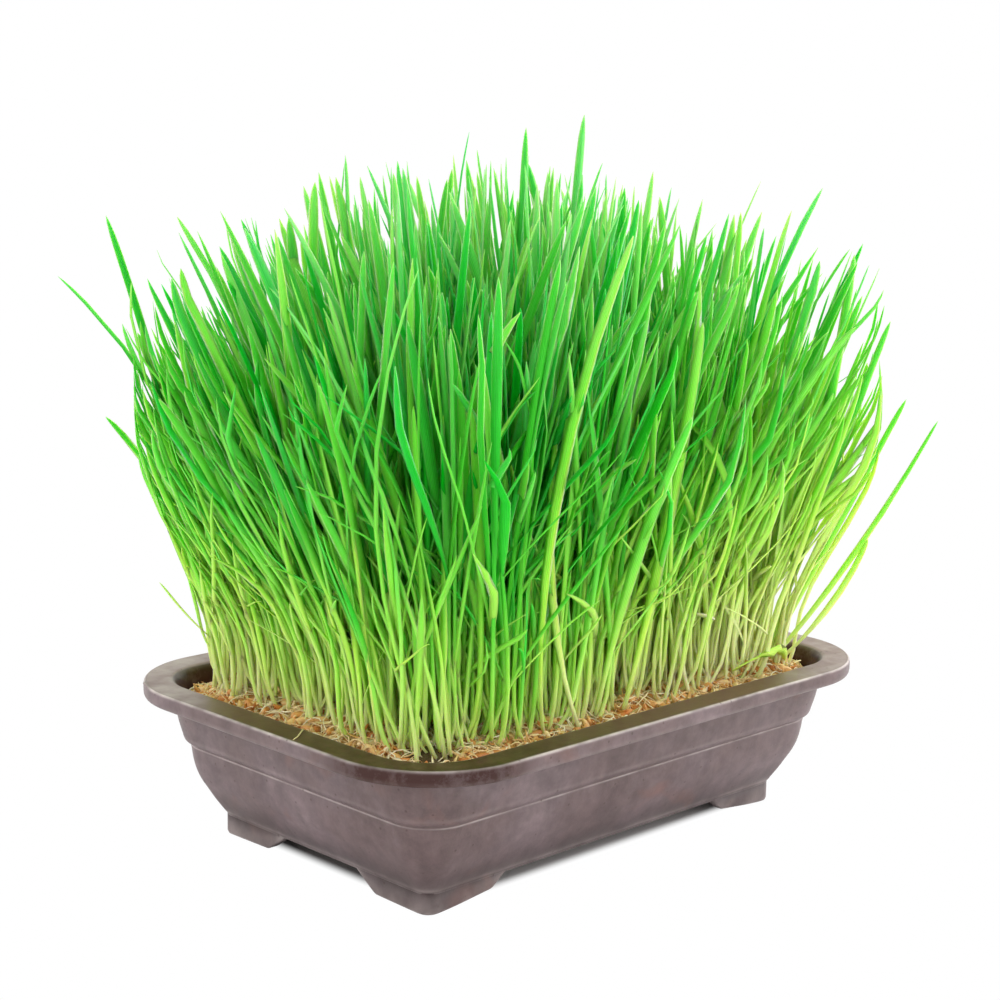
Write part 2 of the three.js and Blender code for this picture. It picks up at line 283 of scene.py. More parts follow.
def trayProfile():
    # rows of inset, height, corner radius and pale edge marks, from the underside up the outer wall,
    # over the lip and down the inner wall to the floor. The marks are rubbing, and on the lip's outer top
    # edge and on the ledge they are painted highlight lines
    skirt = rimZ - 5.8
    underside = rimZ - 2.6
    ogee = [(32.8, 7.3, 5.0, 0), (32.1, 7.35, 5.2, 0.1), (31.6, 7.7, 5.4, 0.3), (31.4, 8.3, 5.8, 0.2),
            (30.7, 9.2, 6.3, 0.35), (29.4, 10.9, 7.4, 0.1), (27, 14.6, 9.0, 0), (24.6, 18.6, 11.0, 0),
            (22.4, 22.2, 13.0, 0), (20.8, 26, 14.4, 0), (19.7, 30.2, 15.5, 0), (19.15, 33.6, 16.2, 0),
            # the ledge's pale line is a painted highlight
            (18.95, 34.9, 16.3, 0), (19.0, 35.4, 16.3, 0.6), (19.12, 35.65, 16.2, 0.3)]
    ledge = [(19.0, 35.9, 16.2, 0), (18.3, 36.4, 16.6, 0), (17.5, 37.0, 17.2, 0), (16.9, 37.7, 17.6, 0),
             (16.45, 38.8, 18.0, 0.1), (16.1, 40.2, 18.3, 0), (15.2, 43.6, 18.9, 0), (14.4, 47.4, 19.5, 0),
             (12.5, underside, 22.0, 0)]
    lipUnder = [(12.0, underside, 22.4, 0), (2.9, underside, 36.9, 0)]
    lipInner = [(2.6, underside - 0.3, 37.2, 0), (2.6, skirt + 0.2, 37.2, 0)]
    lip = [(2.2, skirt, 37.6, 0), (1.3, skirt + 0.05, 38.5, 0), (0.5, skirt + 0.4, 39.3, 0.1),
           (0.1, skirt + 1.2, 39.7, 0.1), (0, skirt + 2.4, 39.8, 0), (0, rimZ - 1.9, 39.8, 0),
           # the lip's outer top edge carries a painted highlight line
           (0.05, rimZ - 0.9, 39.8, 0.1), (0.3, rimZ - 0.3, 39.5, 0.9), (0.75, rimZ - 0.05, 38.9, 1.0),
           (1.5, rimZ, 38.0, 0), (6.0, rimZ - 0.05, 31.5, 0), (10.4, rimZ, 25.2, 0),
           (11.7, rimZ - 0.1, 23.8, 0.15), (12.9, rimZ - 0.7, 22.6, 0.2), (13.9, rimZ - 2.2, 21.6, 0),
           (14.7, rimZ - 4.6, 20.8, 0), (15.9, rimZ - 9.6, 19.8, 0), (17.2, 46, 18.5, 0),
           (19.2, 38.2, 17.0, 0), (22.2, 30, 14.0, 0), (25, 22, 11.5, 0), (29.8, 15, 8.0, 0),
           (33.6, 10.3, 5.0, 0)]
    return np.concatenate([smoothCurve(ogee, 3), smoothCurve(ledge, 3), smoothCurve(lipUnder, 2),
                           smoothCurve(lipInner, 2), smoothCurve(lip, 3)])


def makeTrayShell(material):
    # the profile carried round the tray's plan, closed underneath and on the floor inside
    spec = traySpec
    profile = trayProfile()
    plan = planRings(profile[:, 0], profile[:, 2])
    levels, around = plan.shape[:2]
    height = np.repeat(profile[:, 1:2], around, axis=1)
    points = np.concatenate([plan, height[..., None]], axis=-1)
    # the moulding's long walls are never quite flat: a slow in-and-out along the ring
    outward = plan / np.linalg.norm(plan, axis=-1, keepdims=True)
    waves = softNoise(plan[..., 0] + plan[..., 1], height, seeds["wobble"], spec["wobbleSize"])
    isWall = (height > 10) & (height < rimZ - 6)
    points[..., :2] += outward * (spec["wobble"] * waves * isWall)[..., None]
    # a lump of mould flash on the lip's edge near the back left corner
    flashX, flashY = spec["flashSpot"]
    apart = (plan[..., 0] - flashX) ** 2 + (plan[..., 1] - flashY) ** 2
    isLipEdge = (profile[:, 3:4] > 0.3) & (height > rimZ - 2)
    flash = np.exp(-apart / spec["flashSpread"]) * isLipEdge
    points[..., 2] += spec["flashUp"] * flash
    points[..., :2] += outward * (spec["flashOut"] * flash)[..., None]
    faces = ringQuads(levels, around).tolist()
    faces.append(list(range(around))[::-1])
    faces.append(list(range((levels - 1) * around, levels * around)))
    piece = addMesh("tray_shell", points.reshape(-1, 3) * mm, faces, material)
    paleMark = np.repeat(profile[:, 3], around)
    level = height.reshape(-1)
    inward = np.repeat(profile[:, 0], around)
    isInside = np.arange(len(level)) > len(level) / 2
    # millimetres from the middle towards the front left corner, and out to the two corners beside it
    toFront = -(plan[..., 0] + plan[..., 1]).reshape(-1) / np.sqrt(2)
    toSides = np.abs(plan[..., 0] - plan[..., 1]).reshape(-1) / np.sqrt(2)
    lipTop = (level > rimZ - 0.4) * fadeIn(inward, *spec["lipTopRun"])
    lipFace = (level > rimZ - 6.5) * (inward < 3)
    innerWall = (level < rimZ - 0.5) * (level > 40) * (inward > 11.6) * isInside
    band = (level > 38.5) * ~isInside
    # painted shade: the inner wall is painted dark, and near the front corner so are the lip's face, its top
    # and the band under it, as painted shade and dark reflection
    paintedShade = np.maximum(lipFace * fadeIn(toFront, *spec["faceShadeRun"]), innerWall)
    paintedShade = np.maximum(paintedShade, spec["topShade"] * lipTop * fadeIn(toFront, *spec["topShadeRun"]))
    paintedShade = np.maximum(paintedShade, spec["bandShade"] * band * fadeIn(toFront, *spec["bandShadeRun"]))
    # painted reflection: the lip's top is painted pale at the two side corners, where it reflects the white
    # backdrop, and its pale marks, painted edge highlights with them, are weaker at the front corner
    paleMark = np.maximum(paleMark, spec["cornerSheen"] * lipTop * fadeIn(toSides, *spec["cornerSheenRun"]))
    paleMark = paleMark * (1 - spec["frontPaleCut"] * fadeIn(toFront, *spec["frontPaleCutRun"]))
    addPointColours(piece, "edge", paleMark, lipTop, paintedShade)
    cutDrainHoles(piece)
    return piece


def cutDrainHoles(piece):
    # six round holes through the floor, cut with one exact boolean that is applied at once
    spec = traySpec
    spots = np.array([(x, y) for x in (-1, 0, 1) for y in (-0.5, 0.5)]) * spec["drainSpacing"]
    centre = np.zeros((len(spots), 2, 3))
    centre[:, :, :2] = spots[:, None]
    centre[:, :, 2] = spec["drainCut"]
    # turned a little, so that no corner of a hole lies in line with a corner of the floor
    turn = spec["drainTurn"]
    side = np.array([[[np.cos(turn), np.sin(turn), 0]]])
    up = np.array([[[-np.sin(turn), np.cos(turn), 0]]])
    radius = np.full((len(spots), 2), float(spec["drainRadius"]))
    points, faces = closedTubes(centre, side, up, radius, radius, radius * 0, spec["drainSides"])
    cutter = addMesh("drain_cutter", points * mm, faces, piece.data.materials[0], smooth=False)
    cut = piece.modifiers.new("drain", "BOOLEAN")
    cut.operation = "DIFFERENCE"
    cut.solver = "EXACT"
    cut.object = cutter
    done = bpy.data.meshes.new_from_object(piece.evaluated_get(bpy.context.evaluated_depsgraph_get()))
    piece.modifiers.clear()
    old = piece.data
    piece.data = done
    bpy.data.meshes.remove(old)
    bpy.data.objects.remove(cutter)


def footWall(inward, armX, armY):
    # a foot's plan line this far inside its outer face: the arm along X, round the corner, the arm along Y
    spec = traySpec
    halfX = spec["length"] / 2 - spec["footInset"]
    halfY = spec["width"] / 2 - spec["footInset"]
    radius = spec["footRadius"]
    lineX = np.stack([halfX - armX, np.full_like(armX, halfY - inward)], -1)
    lineY = np.stack([np.full_like(armY, halfX - inward), halfY - armY], -1)[::-1]
    angle = (1 - np.linspace(0, 1, spec["turnSteps"])) * np.pi / 2
    middle = np.array([halfX, halfY]) - radius
    turn = middle + (radius - inward) * np.stack([np.cos(angle), np.sin(angle)], -1)
    return np.concatenate([lineX[:-1], turn, lineY[1:]])


def makeFeet(material):
    # Each foot is an L-shaped wall under a corner: a section swept along footWall's line. Along an arm its
    # lower edge lifts by lift * ((arm - radius) / (flat - radius)) ** 1.3, and past the flat it climbs
    # a straight slope with a rounded start, up to the tray's floor.
    spec = traySpec
    top = spec["footHeight"] + 1.0
    radius = spec["footRadius"]
    arms = []
    lows = []
    for flat, slope, lift in (spec["longFoot"], spec["shortFoot"]):
        arm = np.concatenate([np.linspace(flat + slope, flat + 3, 8), flat + np.array([2.0, 1.0, 0.0, -1.5]),
                              np.linspace(16, radius, 5)])
        gentle = lift * np.clip((arm - radius) / (flat - radius), 0, 1) ** 1.3
        climb = np.maximum(arm - flat, 0)
        arms.append(arm)
        lows.append(gentle + (spec["footHeight"] - lift) * climb ** 2 / ((climb + 1.2) * (slope - 1.1)))
    lowest = np.concatenate([lows[0][:-1], np.zeros(spec["turnSteps"]), lows[1][::-1][1:]])
    # the section, from the outer face to the inner one: inset, height above the lower edge, and wear
    section = [(0.0, None, 0), (0.0, 1.3, 0.4), (0.35, 0.45, 0.6), (1.2, 0.0, 0.3), (4.4, 0.0, 0),
               (5.0, 0.5, 0), (5.0, None, 0)]
    pathCount = len(lowest)
    quads = ringQuads(pathCount, len(section)).tolist()
    lastEnd = np.arange((pathCount - 1) * len(section), pathCount * len(section)).tolist()
    edge = np.tile([float(paleMark) for *_, paleMark in section], pathCount)
    feet = []
    for signX, signY in [(1, 1), (-1, 1), (-1, -1), (1, -1)]:
        rows = []
        for inward, above, _ in section:
            plan = footWall(inward, *arms)
            z = np.full(pathCount, top) if above is None else np.minimum(lowest + above, top - 0.05)
            rows.append(np.concatenate([plan, z[:, None]], axis=1))
        grid = np.stack(rows, axis=1) * [signX, signY, 1]  # path point, section point, xyz
        faces = quads + [list(range(len(section)))[::-1], lastEnd]
        if signX * signY > 0:
            faces = [face[::-1] for face in faces]
        name = "foot_" + ("back" if signY > 0 else "front") + ("_right" if signX > 0 else "_left")
        foot = addMesh(name, grid.reshape(-1, 3) * mm, faces, material)
        addPointColours(foot, "edge", edge)
        feet.append(foot)
    return feet


plasticSpec = {
    "clouds": [(0.3, "#645252"), (0.45, "#6f5d5d"), (0.58, "#786769"), (0.72, "#867577")],
    "rust": "#8a5f52",
    # the lip's top is painted darker: painted shade and dark reflection from the grass over it
    "lipTopShade": "#6a4a43",
    # painted shade colour for the inner wall and the front corner
    "paintedShade": "#3b1e19",
    # pale colour of rubbed edges, also used for painted highlight lines and painted reflection
    "rubbedAndHighlight": "#d2c4c0",
    "driedSoil": "#4a3833",
    "roughness": (0.34, 0.56),
    "glossyRoughness": 0.36,
}


def mouldedPlanterPlastic():
    # Brown-mauve moulded polypropylene, satin from a textured mould and dulled by dried water and soil dust:
    # soft clouds of paler dust, faint rusty stains, short scuffs, and edges rubbed pale. Painted light on it:
    # pale highlight lines on the lip's outer edge and the ledge, a pale reflection at the lip's side corners,
    # a darker lip top, and painted shade on the inner wall and at the front corner.
    spec = plasticSpec
    material, tree, shader = newMaterial("moulded_polypropylene")
    place = addNode(tree, "TexCoord").outputs["Object"]
    # clouds of dust about 40 mm across
    cloud = addNode(tree, "TexNoise", {"Scale": 26.0, "Detail": 6.0, "Roughness": 0.62}, {"Vector": place})
    clouds = addNode(tree, "ValToRGB", links={"Fac": cloud})
    setRamp(clouds, spec["clouds"])
    # finer mottling of 3 to 10 mm, faint upright run marks, and a strip darker towards the bottom, below 20
    # mm, over the feet
    mottle = addNode(tree, "TexNoise", {"Scale": 150.0, "Detail": 8.0, "Roughness": 0.72},
                     {"Vector": place})
    stretched = addNode(tree, "Mapping", {"Scale": (1.0, 1.0, 0.1)}, {"Vector": place})
    runs = addNode(tree, "TexNoise", {"Scale": 110.0, "Detail": 5.0, "Roughness": 0.6},
                   {"Vector": stretched})
    faintRuns = addNode(tree, "Math", {1: 0.45}, {0: runs}, operation="MULTIPLY")
    marks = addNode(tree, "Math", links={0: mottle, 1: faintRuns}, operation="ADD")
    markTone = addNode(tree, "MapRange", fromTo(0.55, 0.9, 0.78, 1.16), {"Value": marks})
    level = addNode(tree, "SeparateXYZ", links={"Vector": place})
    footTone = addNode(tree, "MapRange", fromTo(0.008, 0.02, 0.55), {"Value": level.outputs["Z"]},
                       interpolation_type="SMOOTHSTEP")
    tone = addNode(tree, "Math", links={0: markTone, 1: footTone}, operation="MULTIPLY")
    toned = addNode(tree, "VectorMath", links={0: clouds, 1: tone}, operation="MULTIPLY")
    stain = addNode(tree, "TexNoise", {"Scale": 38.0, "Detail": 3.0, "Distortion": 0.8}, {"Vector": place})
    stainMask = addNode(tree, "MapRange", fromTo(0.6, 0.8, 0.0, 0.5), {"Value": stain})
    # the attribute "edge" has the pale marks in red (rubbing, painted highlight lines and painted corner
    # reflection), the lip's top in green and the painted shade in blue
    edge = addNode(tree, "Attribute", attribute_name="edge")
    parts = addNode(tree, "SeparateColor", links={"Color": edge})
    paleMarkNoise = addNode(tree, "TexNoise", {"Scale": 90.0, "Detail": 4.0}, {"Vector": place})
    paleMarkShare = addNode(tree, "MapRange", fromTo(0.35, 0.65, 0.3, 0.95), {"Value": paleMarkNoise})
    paleMarkMask = addNode(tree, "Math", links={0: parts.outputs["Red"], 1: paleMarkShare}, operation="MULTIPLY")
    blot = addNode(tree, "MapRange", fromTo(0.4, 0.6, 0.62, 1.2), {"Value": mottle})
    paintedShadeMask = addNode(tree, "Math", links={0: parts.outputs["Blue"], 1: blot}, operation="MULTIPLY")
    speck = addNode(tree, "TexVoronoi", {"Scale": 210.0}, {"Vector": place})
    speckMask = addNode(tree, "MapRange", fromTo(0.13, 0.06, 0.0, 0.55), {"Value": speck})
    # from below: rusty stains, the lip's top painted darker as painted shade, the painted shade of the inner
    # wall and front corner, rubbed edges with painted highlight lines and painted reflection, and
    # half-millimetre soil specks
    surface = toned
    for colour, mask in ((spec["rust"], stainMask), (spec["lipTopShade"], parts.outputs["Green"]),
                         (spec["paintedShade"], paintedShadeMask), (spec["rubbedAndHighlight"], paleMarkMask),
                         (spec["driedSoil"], speckMask)):
        layer = addNode(tree, "Mix", {"B": linear(colour)}, {"Factor": mask, "A": surface},
                        data_type="RGBA")
        surface = layer.outputs["Result"]
    dry = addNode(tree, "MapRange", fromTo(0.3, 0.7, *spec["roughness"]), {"Value": cloud})
    # the lip's top and the painted-shade parts are glossier
    glossier = addNode(tree, "Math", links={0: parts.outputs["Green"], 1: parts.outputs["Blue"]},
                  operation="MAXIMUM")
    roughness = addNode(tree, "Mix", {"B": spec["glossyRoughness"]}, {"Factor": glossier, "A": dry},
                        data_type="FLOAT")
    tree.links.new(roughness.outputs["Result"], shader.inputs["Roughness"])
    # fine mould grain of about 0.8 mm, drawn a little coarser than real so that it shows, and scuffs
    grain = addNode(tree, "TexNoise", {"Scale": 1200.0, "Detail": 2.0}, {"Vector": place})
    scuff = addNode(tree, "TexNoise", {"Scale": 160.0, "Detail": 5.0}, {"Vector": place})
    fineGrain = addNode(tree, "Math", {1: 0.35}, {0: grain}, operation="MULTIPLY")
    height = addNode(tree, "Math", links={0: fineGrain, 1: scuff}, operation="ADD")
    finishSurface(tree, shader, surface, height, {"Strength": 0.35, "Distance": 0.0003},
                  {"IOR": 1.49, "Specular IOR Level": 0.28})
    return material


print("tray: shell, feet and drain holes")
trayPlastic = mouldedPlanterPlastic()
settle(makeTrayShell(trayPlastic), "tray_plastic", "tray")
for footPiece in makeFeet(trayPlastic):
    settle(footPiece, "tray_plastic")


# millimetres, and sRGB colours
bedSpec = {
    "edgeZ": 55.4,
    "crownRise": 3.6,
    "crownRun": 16,
    "lumps": 0.9,
    "cornerRadius": 20,
    "topRadius": 20.2,
    "lowRadius": 18.2,
    "cornerDip": 4.5,
    "dipAcross": (0.712, 0.702),
    "dipRun": (92, 30),
    "rings": 64,
    "clearOfWall": 0.9,
    # a hollow of bare soil by the front left corner
    "hollow": (-94.5, -59.5, 55),
    "hollowReach": 9,
    "kernels": 430,
    "kernelLength": (5.6, 7.2),
    "kernelHalfWidth": (1.35, 1.7),
    "kernelSides": 7,
    "husks": 2100,
    "huskLength": (2.2, 7.5),
    "huskHalfWidth": (0.35, 1.0),
    "huskHalfDepth": 0.14,
    "roots": 2200,
    "rootLength": (6, 20),
    "rootRadius": (0.16, 0.34),
    "kernelSkin": [(0.0, "#c07038"), (0.35, "#e09c58"), (0.7, "#f2c27c"), (1.0, "#fae0ac")],
    "straw": [(0.0, "#e08a40"), (0.3, "#f0b468"), (0.6, "#f8d48c"), (1.0, "#fff0c0")],
    "rootHair": [(0.0, "#ecc080"), (0.5, "#fce4b0"), (1.0, "#fff6d8")],
    "seedMat": [(0.3, "#6a4622"), (0.42, "#ba8444"), (0.52, "#e8b46c"), (0.64, "#f6ce8a"), (0.8, "#fce6b0")],
    "soil": [(0.35, "#22160d"), (0.55, "#4a3321"), (0.72, "#725238")],
}


def wallInsetAt(z):
    # how far the tray's inner wall stands in from the lip's outline
    return np.interp(z, [46, rimZ - 9.6, rimZ - 4.6, rimZ - 2.2], [17.2, 15.9, 14.7, 13.9])


def edgeDistance(x, y):
    # distance in from the mat's rounded outline, negative outside
    inset = wallInsetAt(bedSpec["edgeZ"]) + bedSpec["clearOfWall"]
    radius = bedSpec["cornerRadius"]
    dx = np.abs(x) - (traySpec["length"] / 2 - inset - radius)
    dy = np.abs(y) - (traySpec["width"] / 2 - inset - radius)
    outside = np.hypot(np.maximum(dx, 0), np.maximum(dy, 0))
    inside = np.minimum(np.maximum(dx, dy), 0)
    return radius - outside - inside


def matHeight(x, y):
    # the knitted mat bulges up inside the tray with lumps of seed, and lies lower in two opposite corners
    spec = bedSpec
    crown = smoothStep(edgeDistance(x, y) / spec["crownRun"])
    lumps = softNoise(x, y, seeds["lumps"], 16) * 0.7 + softNoise(x, y, seeds["smallLumps"], 6.5) * 0.45
    alongX, alongY = spec["dipAcross"]
    dip = fadeIn(np.abs(alongX * x - alongY * y), *spec["dipRun"])
    return (spec["edgeZ"] + spec["crownRise"] * crown + spec["lumps"] * lumps * (0.3 + 0.7 * crown)
            - spec["cornerDip"] * dip)


def makeMat(material):
    # shrunken copies of the outline from the middle to the wall, lifted to matHeight, and one ring underneath
    spec = bedSpec
    outline = planRings([wallInsetAt(spec["edgeZ"]) + spec["clearOfWall"]], [spec["topRadius"]])[0]
    share = np.linspace(0, 1, spec["rings"] + 1)[1:]
    top = outline[None] * share[:, None, None]
    top = np.concatenate([top, matHeight(top[..., 0], top[..., 1])[..., None]], axis=-1)
    under = planRings([wallInsetAt(matLow[2]) + spec["clearOfWall"]], [spec["lowRadius"]])[0]
    under = np.concatenate([under, np.full((len(under), 1), matLow[2])], axis=1)[None]
    rings = np.concatenate([top, under])
    ringCount, around = rings.shape[:2]
    points = np.concatenate([rings.reshape(-1, 3), [[0, 0, matHeight(0.0, 0.0)]]])
    k = np.arange(around)
    middle = np.full(around, len(points) - 1)
    faces = np.stack([k, (k + 1) % around, middle], -1).tolist()
    faces += ringQuads(ringCount, around)[:, [0, 3, 2, 1]].tolist()
    faces.append(list(range((ringCount - 1) * around, ringCount * around))[::-1])
    return addMesh("seed_mat", points * mm, faces, material)


def scatterSpots(count, seed, nearEdge):
    # random spots on the mat; nearEdge above 0 crowds them towards the visible border
    draw = np.random.default_rng(seed)
    hollowX, hollowY, _ = bedSpec["hollow"]
    spots = np.empty((0, 2))
    while len(spots) < count:
        xy = draw.uniform(-1, 1, (count * 4, 2)) * [matHigh[0] - 1, matHigh[1] - 1]
        inward = edgeDistance(xy[:, 0], xy[:, 1])
        keep = (inward > 1.6) & (draw.random(len(xy)) < np.exp(-nearEdge * inward / 20))
        # few in the hollow
        isClear = np.hypot(xy[:, 0] - hollowX, xy[:, 1] - hollowY) > bedSpec["hollowReach"]
        keep &= isClear | (draw.random(len(xy)) < 0.12)
        spots = np.concatenate([spots, xy[keep]])
    return spots[:count], draw


def turnFrame(heading, pitch, roll):
    # unit vectors of a small thing: along, side and up, from its heading, pitch and roll
    along = np.stack([np.cos(pitch) * np.cos(heading), np.cos(pitch) * np.sin(heading), np.sin(pitch)], -1)
    level = np.stack([-np.sin(heading), np.cos(heading), np.zeros_like(heading)], -1)
    over = np.cross(along, level)
    side = np.cos(roll)[:, None] * level + np.sin(roll)[:, None] * over
    return along[:, None], side[:, None], np.cross(along, side)[:, None]


def straightLines(spots, z, along, length, t):
    # points at the shares t of lines of a length, centred on the spots
    middle = np.concatenate([spots, z[:, None]], axis=1)
    return middle[:, None] + (t - 0.5)[None, :, None] * length[:, None, None] * along


def tintedTubes(name, tubes, sectionCount, draw, material):
    # closed tubes in one piece, each with its own random tint in the attribute "grain"
    points, faces = closedTubes(*tubes, sectionCount)
    piece = addMesh(name, points * mm, faces, material)
    tubeCount, ringCount = tubes[0].shape[:2]
    addPointColours(piece, "grain", tubeValues(draw.random((tubeCount, 1)), ringCount, sectionCount))
    return piece


def makeKernels(name, spots, z, draw, material, lying=0.35):
    # wheat grains: a plump spindle, blunt at the germ end, with the crease pressed into its belly
    count = len(spots)
    along, side, up = turnFrame(draw.uniform(0, 2 * np.pi, count), draw.normal(0, lying, count),
                                draw.uniform(0, 2 * np.pi, count))
    length = draw.uniform(*bedSpec["kernelLength"], count)
    t = np.array([0.03, 0.16, 0.4, 0.66, 0.88, 0.98])
    girth = np.sqrt(1 - (2 * t - 1) ** 2) ** 0.8 * (1 - 0.16 * (t - 0.5))
    centre = straightLines(spots, z, along, length, t)
    halfWidth = girth[None] * draw.uniform(*bedSpec["kernelHalfWidth"], count)[:, None]
    tubes = (centre, side, up, halfWidth, halfWidth * 0.86, halfWidth * 0.12)
    return tintedTubes(name, tubes, bedSpec["kernelSides"], draw, material)


def makeHusks(material):
    # split bran and husk: short curled flakes
    spots, draw = scatterSpots(bedSpec["husks"], seeds["husks"], 0.9)
    count = len(spots)
    z = matHeight(spots[:, 0], spots[:, 1]) + draw.uniform(0.4, 2.2, count)
    along, side, up = turnFrame(draw.uniform(0, 2 * np.pi, count), draw.normal(0, 0.5, count),
                                draw.normal(0, 0.9, count))
    shortest, more = bedSpec["huskLength"]
    length = shortest + more * draw.random(count) ** 2
    t = np.linspace(0, 1, 5)
    curl = draw.uniform(-1.2, 1.8, count)
    curled = (curl[:, None] * (2 * t - 1)[None] ** 2)[..., None] * up
    centre = straightLines(spots, z, along, length, t) + curled
    girth = draw.uniform(*bedSpec["huskHalfWidth"], count) * (0.5 + length / 8)
    width = np.sin(np.pi * (0.08 + 0.84 * t))[None] * girth[:, None]
    depth = np.full_like(width, bedSpec["huskHalfDepth"])
    return tintedTubes("husks", (centre, side, up, width, depth, width * 0.5), 4, draw, material)


def makeRoots(material):
    # pale root hairs: thin tubes that wander over the mat and dip into it at both ends
    spots, draw = scatterSpots(bedSpec["roots"], seeds["roots"], 1.0)
    count = len(spots)
    heading = draw.uniform(0, 2 * np.pi, count)
    length = draw.uniform(*bedSpec["rootLength"], count)
    t = np.linspace(0, 1, 8)
    bow = draw.normal(0, 1.4, count)
    sway = draw.normal(0, 0.9, count)
    angle = heading[:, None] + bow[:, None] * (t - 0.5) + sway[:, None] * np.sin(2 * np.pi * t)
    step = length[:, None, None] / (len(t) - 1) * np.stack([np.cos(angle), np.sin(angle)], -1)
    xy = spots[:, None] + np.cumsum(step, axis=1) - step[:, :1] * 4
    # hairs that would reach the wall are pulled back
    inward = edgeDistance(xy[..., 0], xy[..., 1])
    pull = np.maximum(1.2 - inward, 0)[..., None]
    xy = xy - pull * xy / np.linalg.norm(xy, axis=-1, keepdims=True)
    hump = draw.uniform(0.4, 3.2, count)
    z = matHeight(xy[..., 0], xy[..., 1]) - 0.8 + (hump[:, None] + 0.8) * np.sin(np.pi * t)[None] ** 0.7
    # one long hair has dried across the lip of the left side
    across = np.stack([np.interp(t, [0, 0.7, 1], [-109.5, -120.4, -124.4]),
                       np.interp(t, [0, 0.7, 1], [-13, -22, -23.4]),
                       np.interp(t, [0, 0.25, 0.8, 1], [57.5, rimZ + 0.3, rimZ + 0.3, rimZ - 0.4])], -1)
    centre = np.concatenate([np.concatenate([xy, z[..., None]], axis=-1), across[None]])
    along = np.gradient(centre, axis=1)
    along /= np.linalg.norm(along, axis=-1, keepdims=True)
    side = np.cross(along, [0, 0, 1.0])
    side /= np.linalg.norm(side, axis=-1, keepdims=True) + 1e-9
    girth = draw.uniform(*bedSpec["rootRadius"], count + 1)
    radius = girth[:, None] * (0.5 + 0.5 * np.sin(np.pi * (0.1 + 0.8 * t)))[None]
    return tintedTubes("root_hairs", (centre, side, np.cross(along, side), radius, radius, radius * 0), 4,
                       draw, material)


def grainMaterial(name, stops, roughness):
    # dried plant matter coloured by each tube's tint, with fine mottling of about 1 mm
    material, tree, shader = newMaterial(name)
    grain = addNode(tree, "Attribute", attribute_name="grain")
    parts = addNode(tree, "SeparateColor", links={"Color": grain})
    place = addNode(tree, "TexCoord").outputs["Object"]
    mottle = addNode(tree, "TexNoise", {"Scale": 900.0, "Detail": 3.0}, {"Vector": place})
    faint = addNode(tree, "Math", {1: 0.5}, {0: mottle}, operation="MULTIPLY")
    total = addNode(tree, "Math", links={0: parts.outputs["Red"], 1: faint}, operation="ADD")
    centred = addNode(tree, "Math", {1: 0.25}, {0: total}, operation="SUBTRACT")
    ramp = addNode(tree, "ValToRGB", links={"Fac": centred})
    setRamp(ramp, stops)
    finishSurface(tree, shader, ramp, mottle,
                  {"Strength": 0.5, "Distance": 0.0002}, {"Roughness": roughness, "IOR": 1.45})
    return material


def seedMatMaterial():
    # a knit of roots, bran and damp soil: tan where the seed lies, dark where soil shows between,
    # in clumps about as long as a grain, 8 mm, with a bump of fibres 1 to 2 mm long
    material, tree, shader = newMaterial("seed_and_root_mat")
    place = addNode(tree, "TexCoord").outputs["Object"]
    clump = addNode(tree, "TexNoise", {"Scale": 120.0, "Detail": 6.0, "Roughness": 0.7}, {"Vector": place})
    ramp = addNode(tree, "ValToRGB", links={"Fac": clump})
    setRamp(ramp, bedSpec["seedMat"])
    # bare dark soil in the hollow
    hollow = [value * mm for value in bedSpec["hollow"]]
    apart = addNode(tree, "VectorMath", {1: hollow}, {0: place}, operation="DISTANCE")
    bare = addNode(tree, "MapRange", fromTo(0.006, 0.013, 0.12), {"Value": apart.outputs["Value"]},
                   interpolation_type="SMOOTHSTEP")
    seedTone = addNode(tree, "VectorMath", links={0: ramp, 1: bare}, operation="MULTIPLY")
    fibre = addNode(tree, "TexNoise", {"Scale": 700.0, "Detail": 4.0}, {"Vector": place})
    finishSurface(tree, shader, seedTone, fibre,
                  {"Strength": 0.9, "Distance": 0.0012}, {"Roughness": 0.85})
    return material


def dampSoilMaterial():
    # damp potting soil: near-black brown crumbs of 2 to 3 mm, with a few paler bits of fibre
    material, tree, shader = newMaterial("damp_soil")
    place = addNode(tree, "TexCoord").outputs["Object"]
    crumb = addNode(tree, "TexNoise", {"Scale": 400.0, "Detail": 5.0}, {"Vector": place})
    ramp = addNode(tree, "ValToRGB", links={"Fac": crumb})
    setRamp(ramp, bedSpec["soil"])
    finishSurface(tree, shader, ramp, crumb,
                  {"Strength": 0.8, "Distance": 0.001}, {"Roughness": 0.9})
    return material


print("bed: mat, kernels, husks and roots")
kernelSkin = grainMaterial("wheat_bran", bedSpec["kernelSkin"], 0.5)
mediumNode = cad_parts["growing_medium"]
mediumNode.data.materials.clear()
mediumNode.data.materials.append(dampSoilMaterial())
settle(makeMat(seedMatMaterial()), "root_mat", "root_mat")
kernelSpots, kernelDraw = scatterSpots(bedSpec["kernels"], seeds["kernels"], 0.7)
kernelZ = matHeight(kernelSpots[:, 0], kernelSpots[:, 1]) + kernelDraw.uniform(-0.2, 1.6, len(kernelSpots))
settle(makeKernels("mat_kernels", kernelSpots, kernelZ, kernelDraw, kernelSkin), "kernel")
for nodeName in [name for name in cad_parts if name.startswith("kernel_")]:
    low, high = cornersOf(nodeName)
    middle = (low + high) / 2
    spot = middle[None, :2]
    kernelZ = np.maximum(matHeight(spot[:, 0], spot[:, 1]) + 1.2, middle[2])
    kernelDraw = np.random.default_rng(int(nodeName.split("_")[1]))
    grain = makeKernels("loose_" + nodeName, spot, kernelZ, kernelDraw, kernelSkin, lying=0.1)
    settle(grain, "kernel", nodeName)
settle(makeHusks(grainMaterial("straw_husk", bedSpec["straw"], 0.6)), "root_mat")
settle(makeRoots(grainMaterial("root_hair", bedSpec["rootHair"], 0.55)), "root_mat")


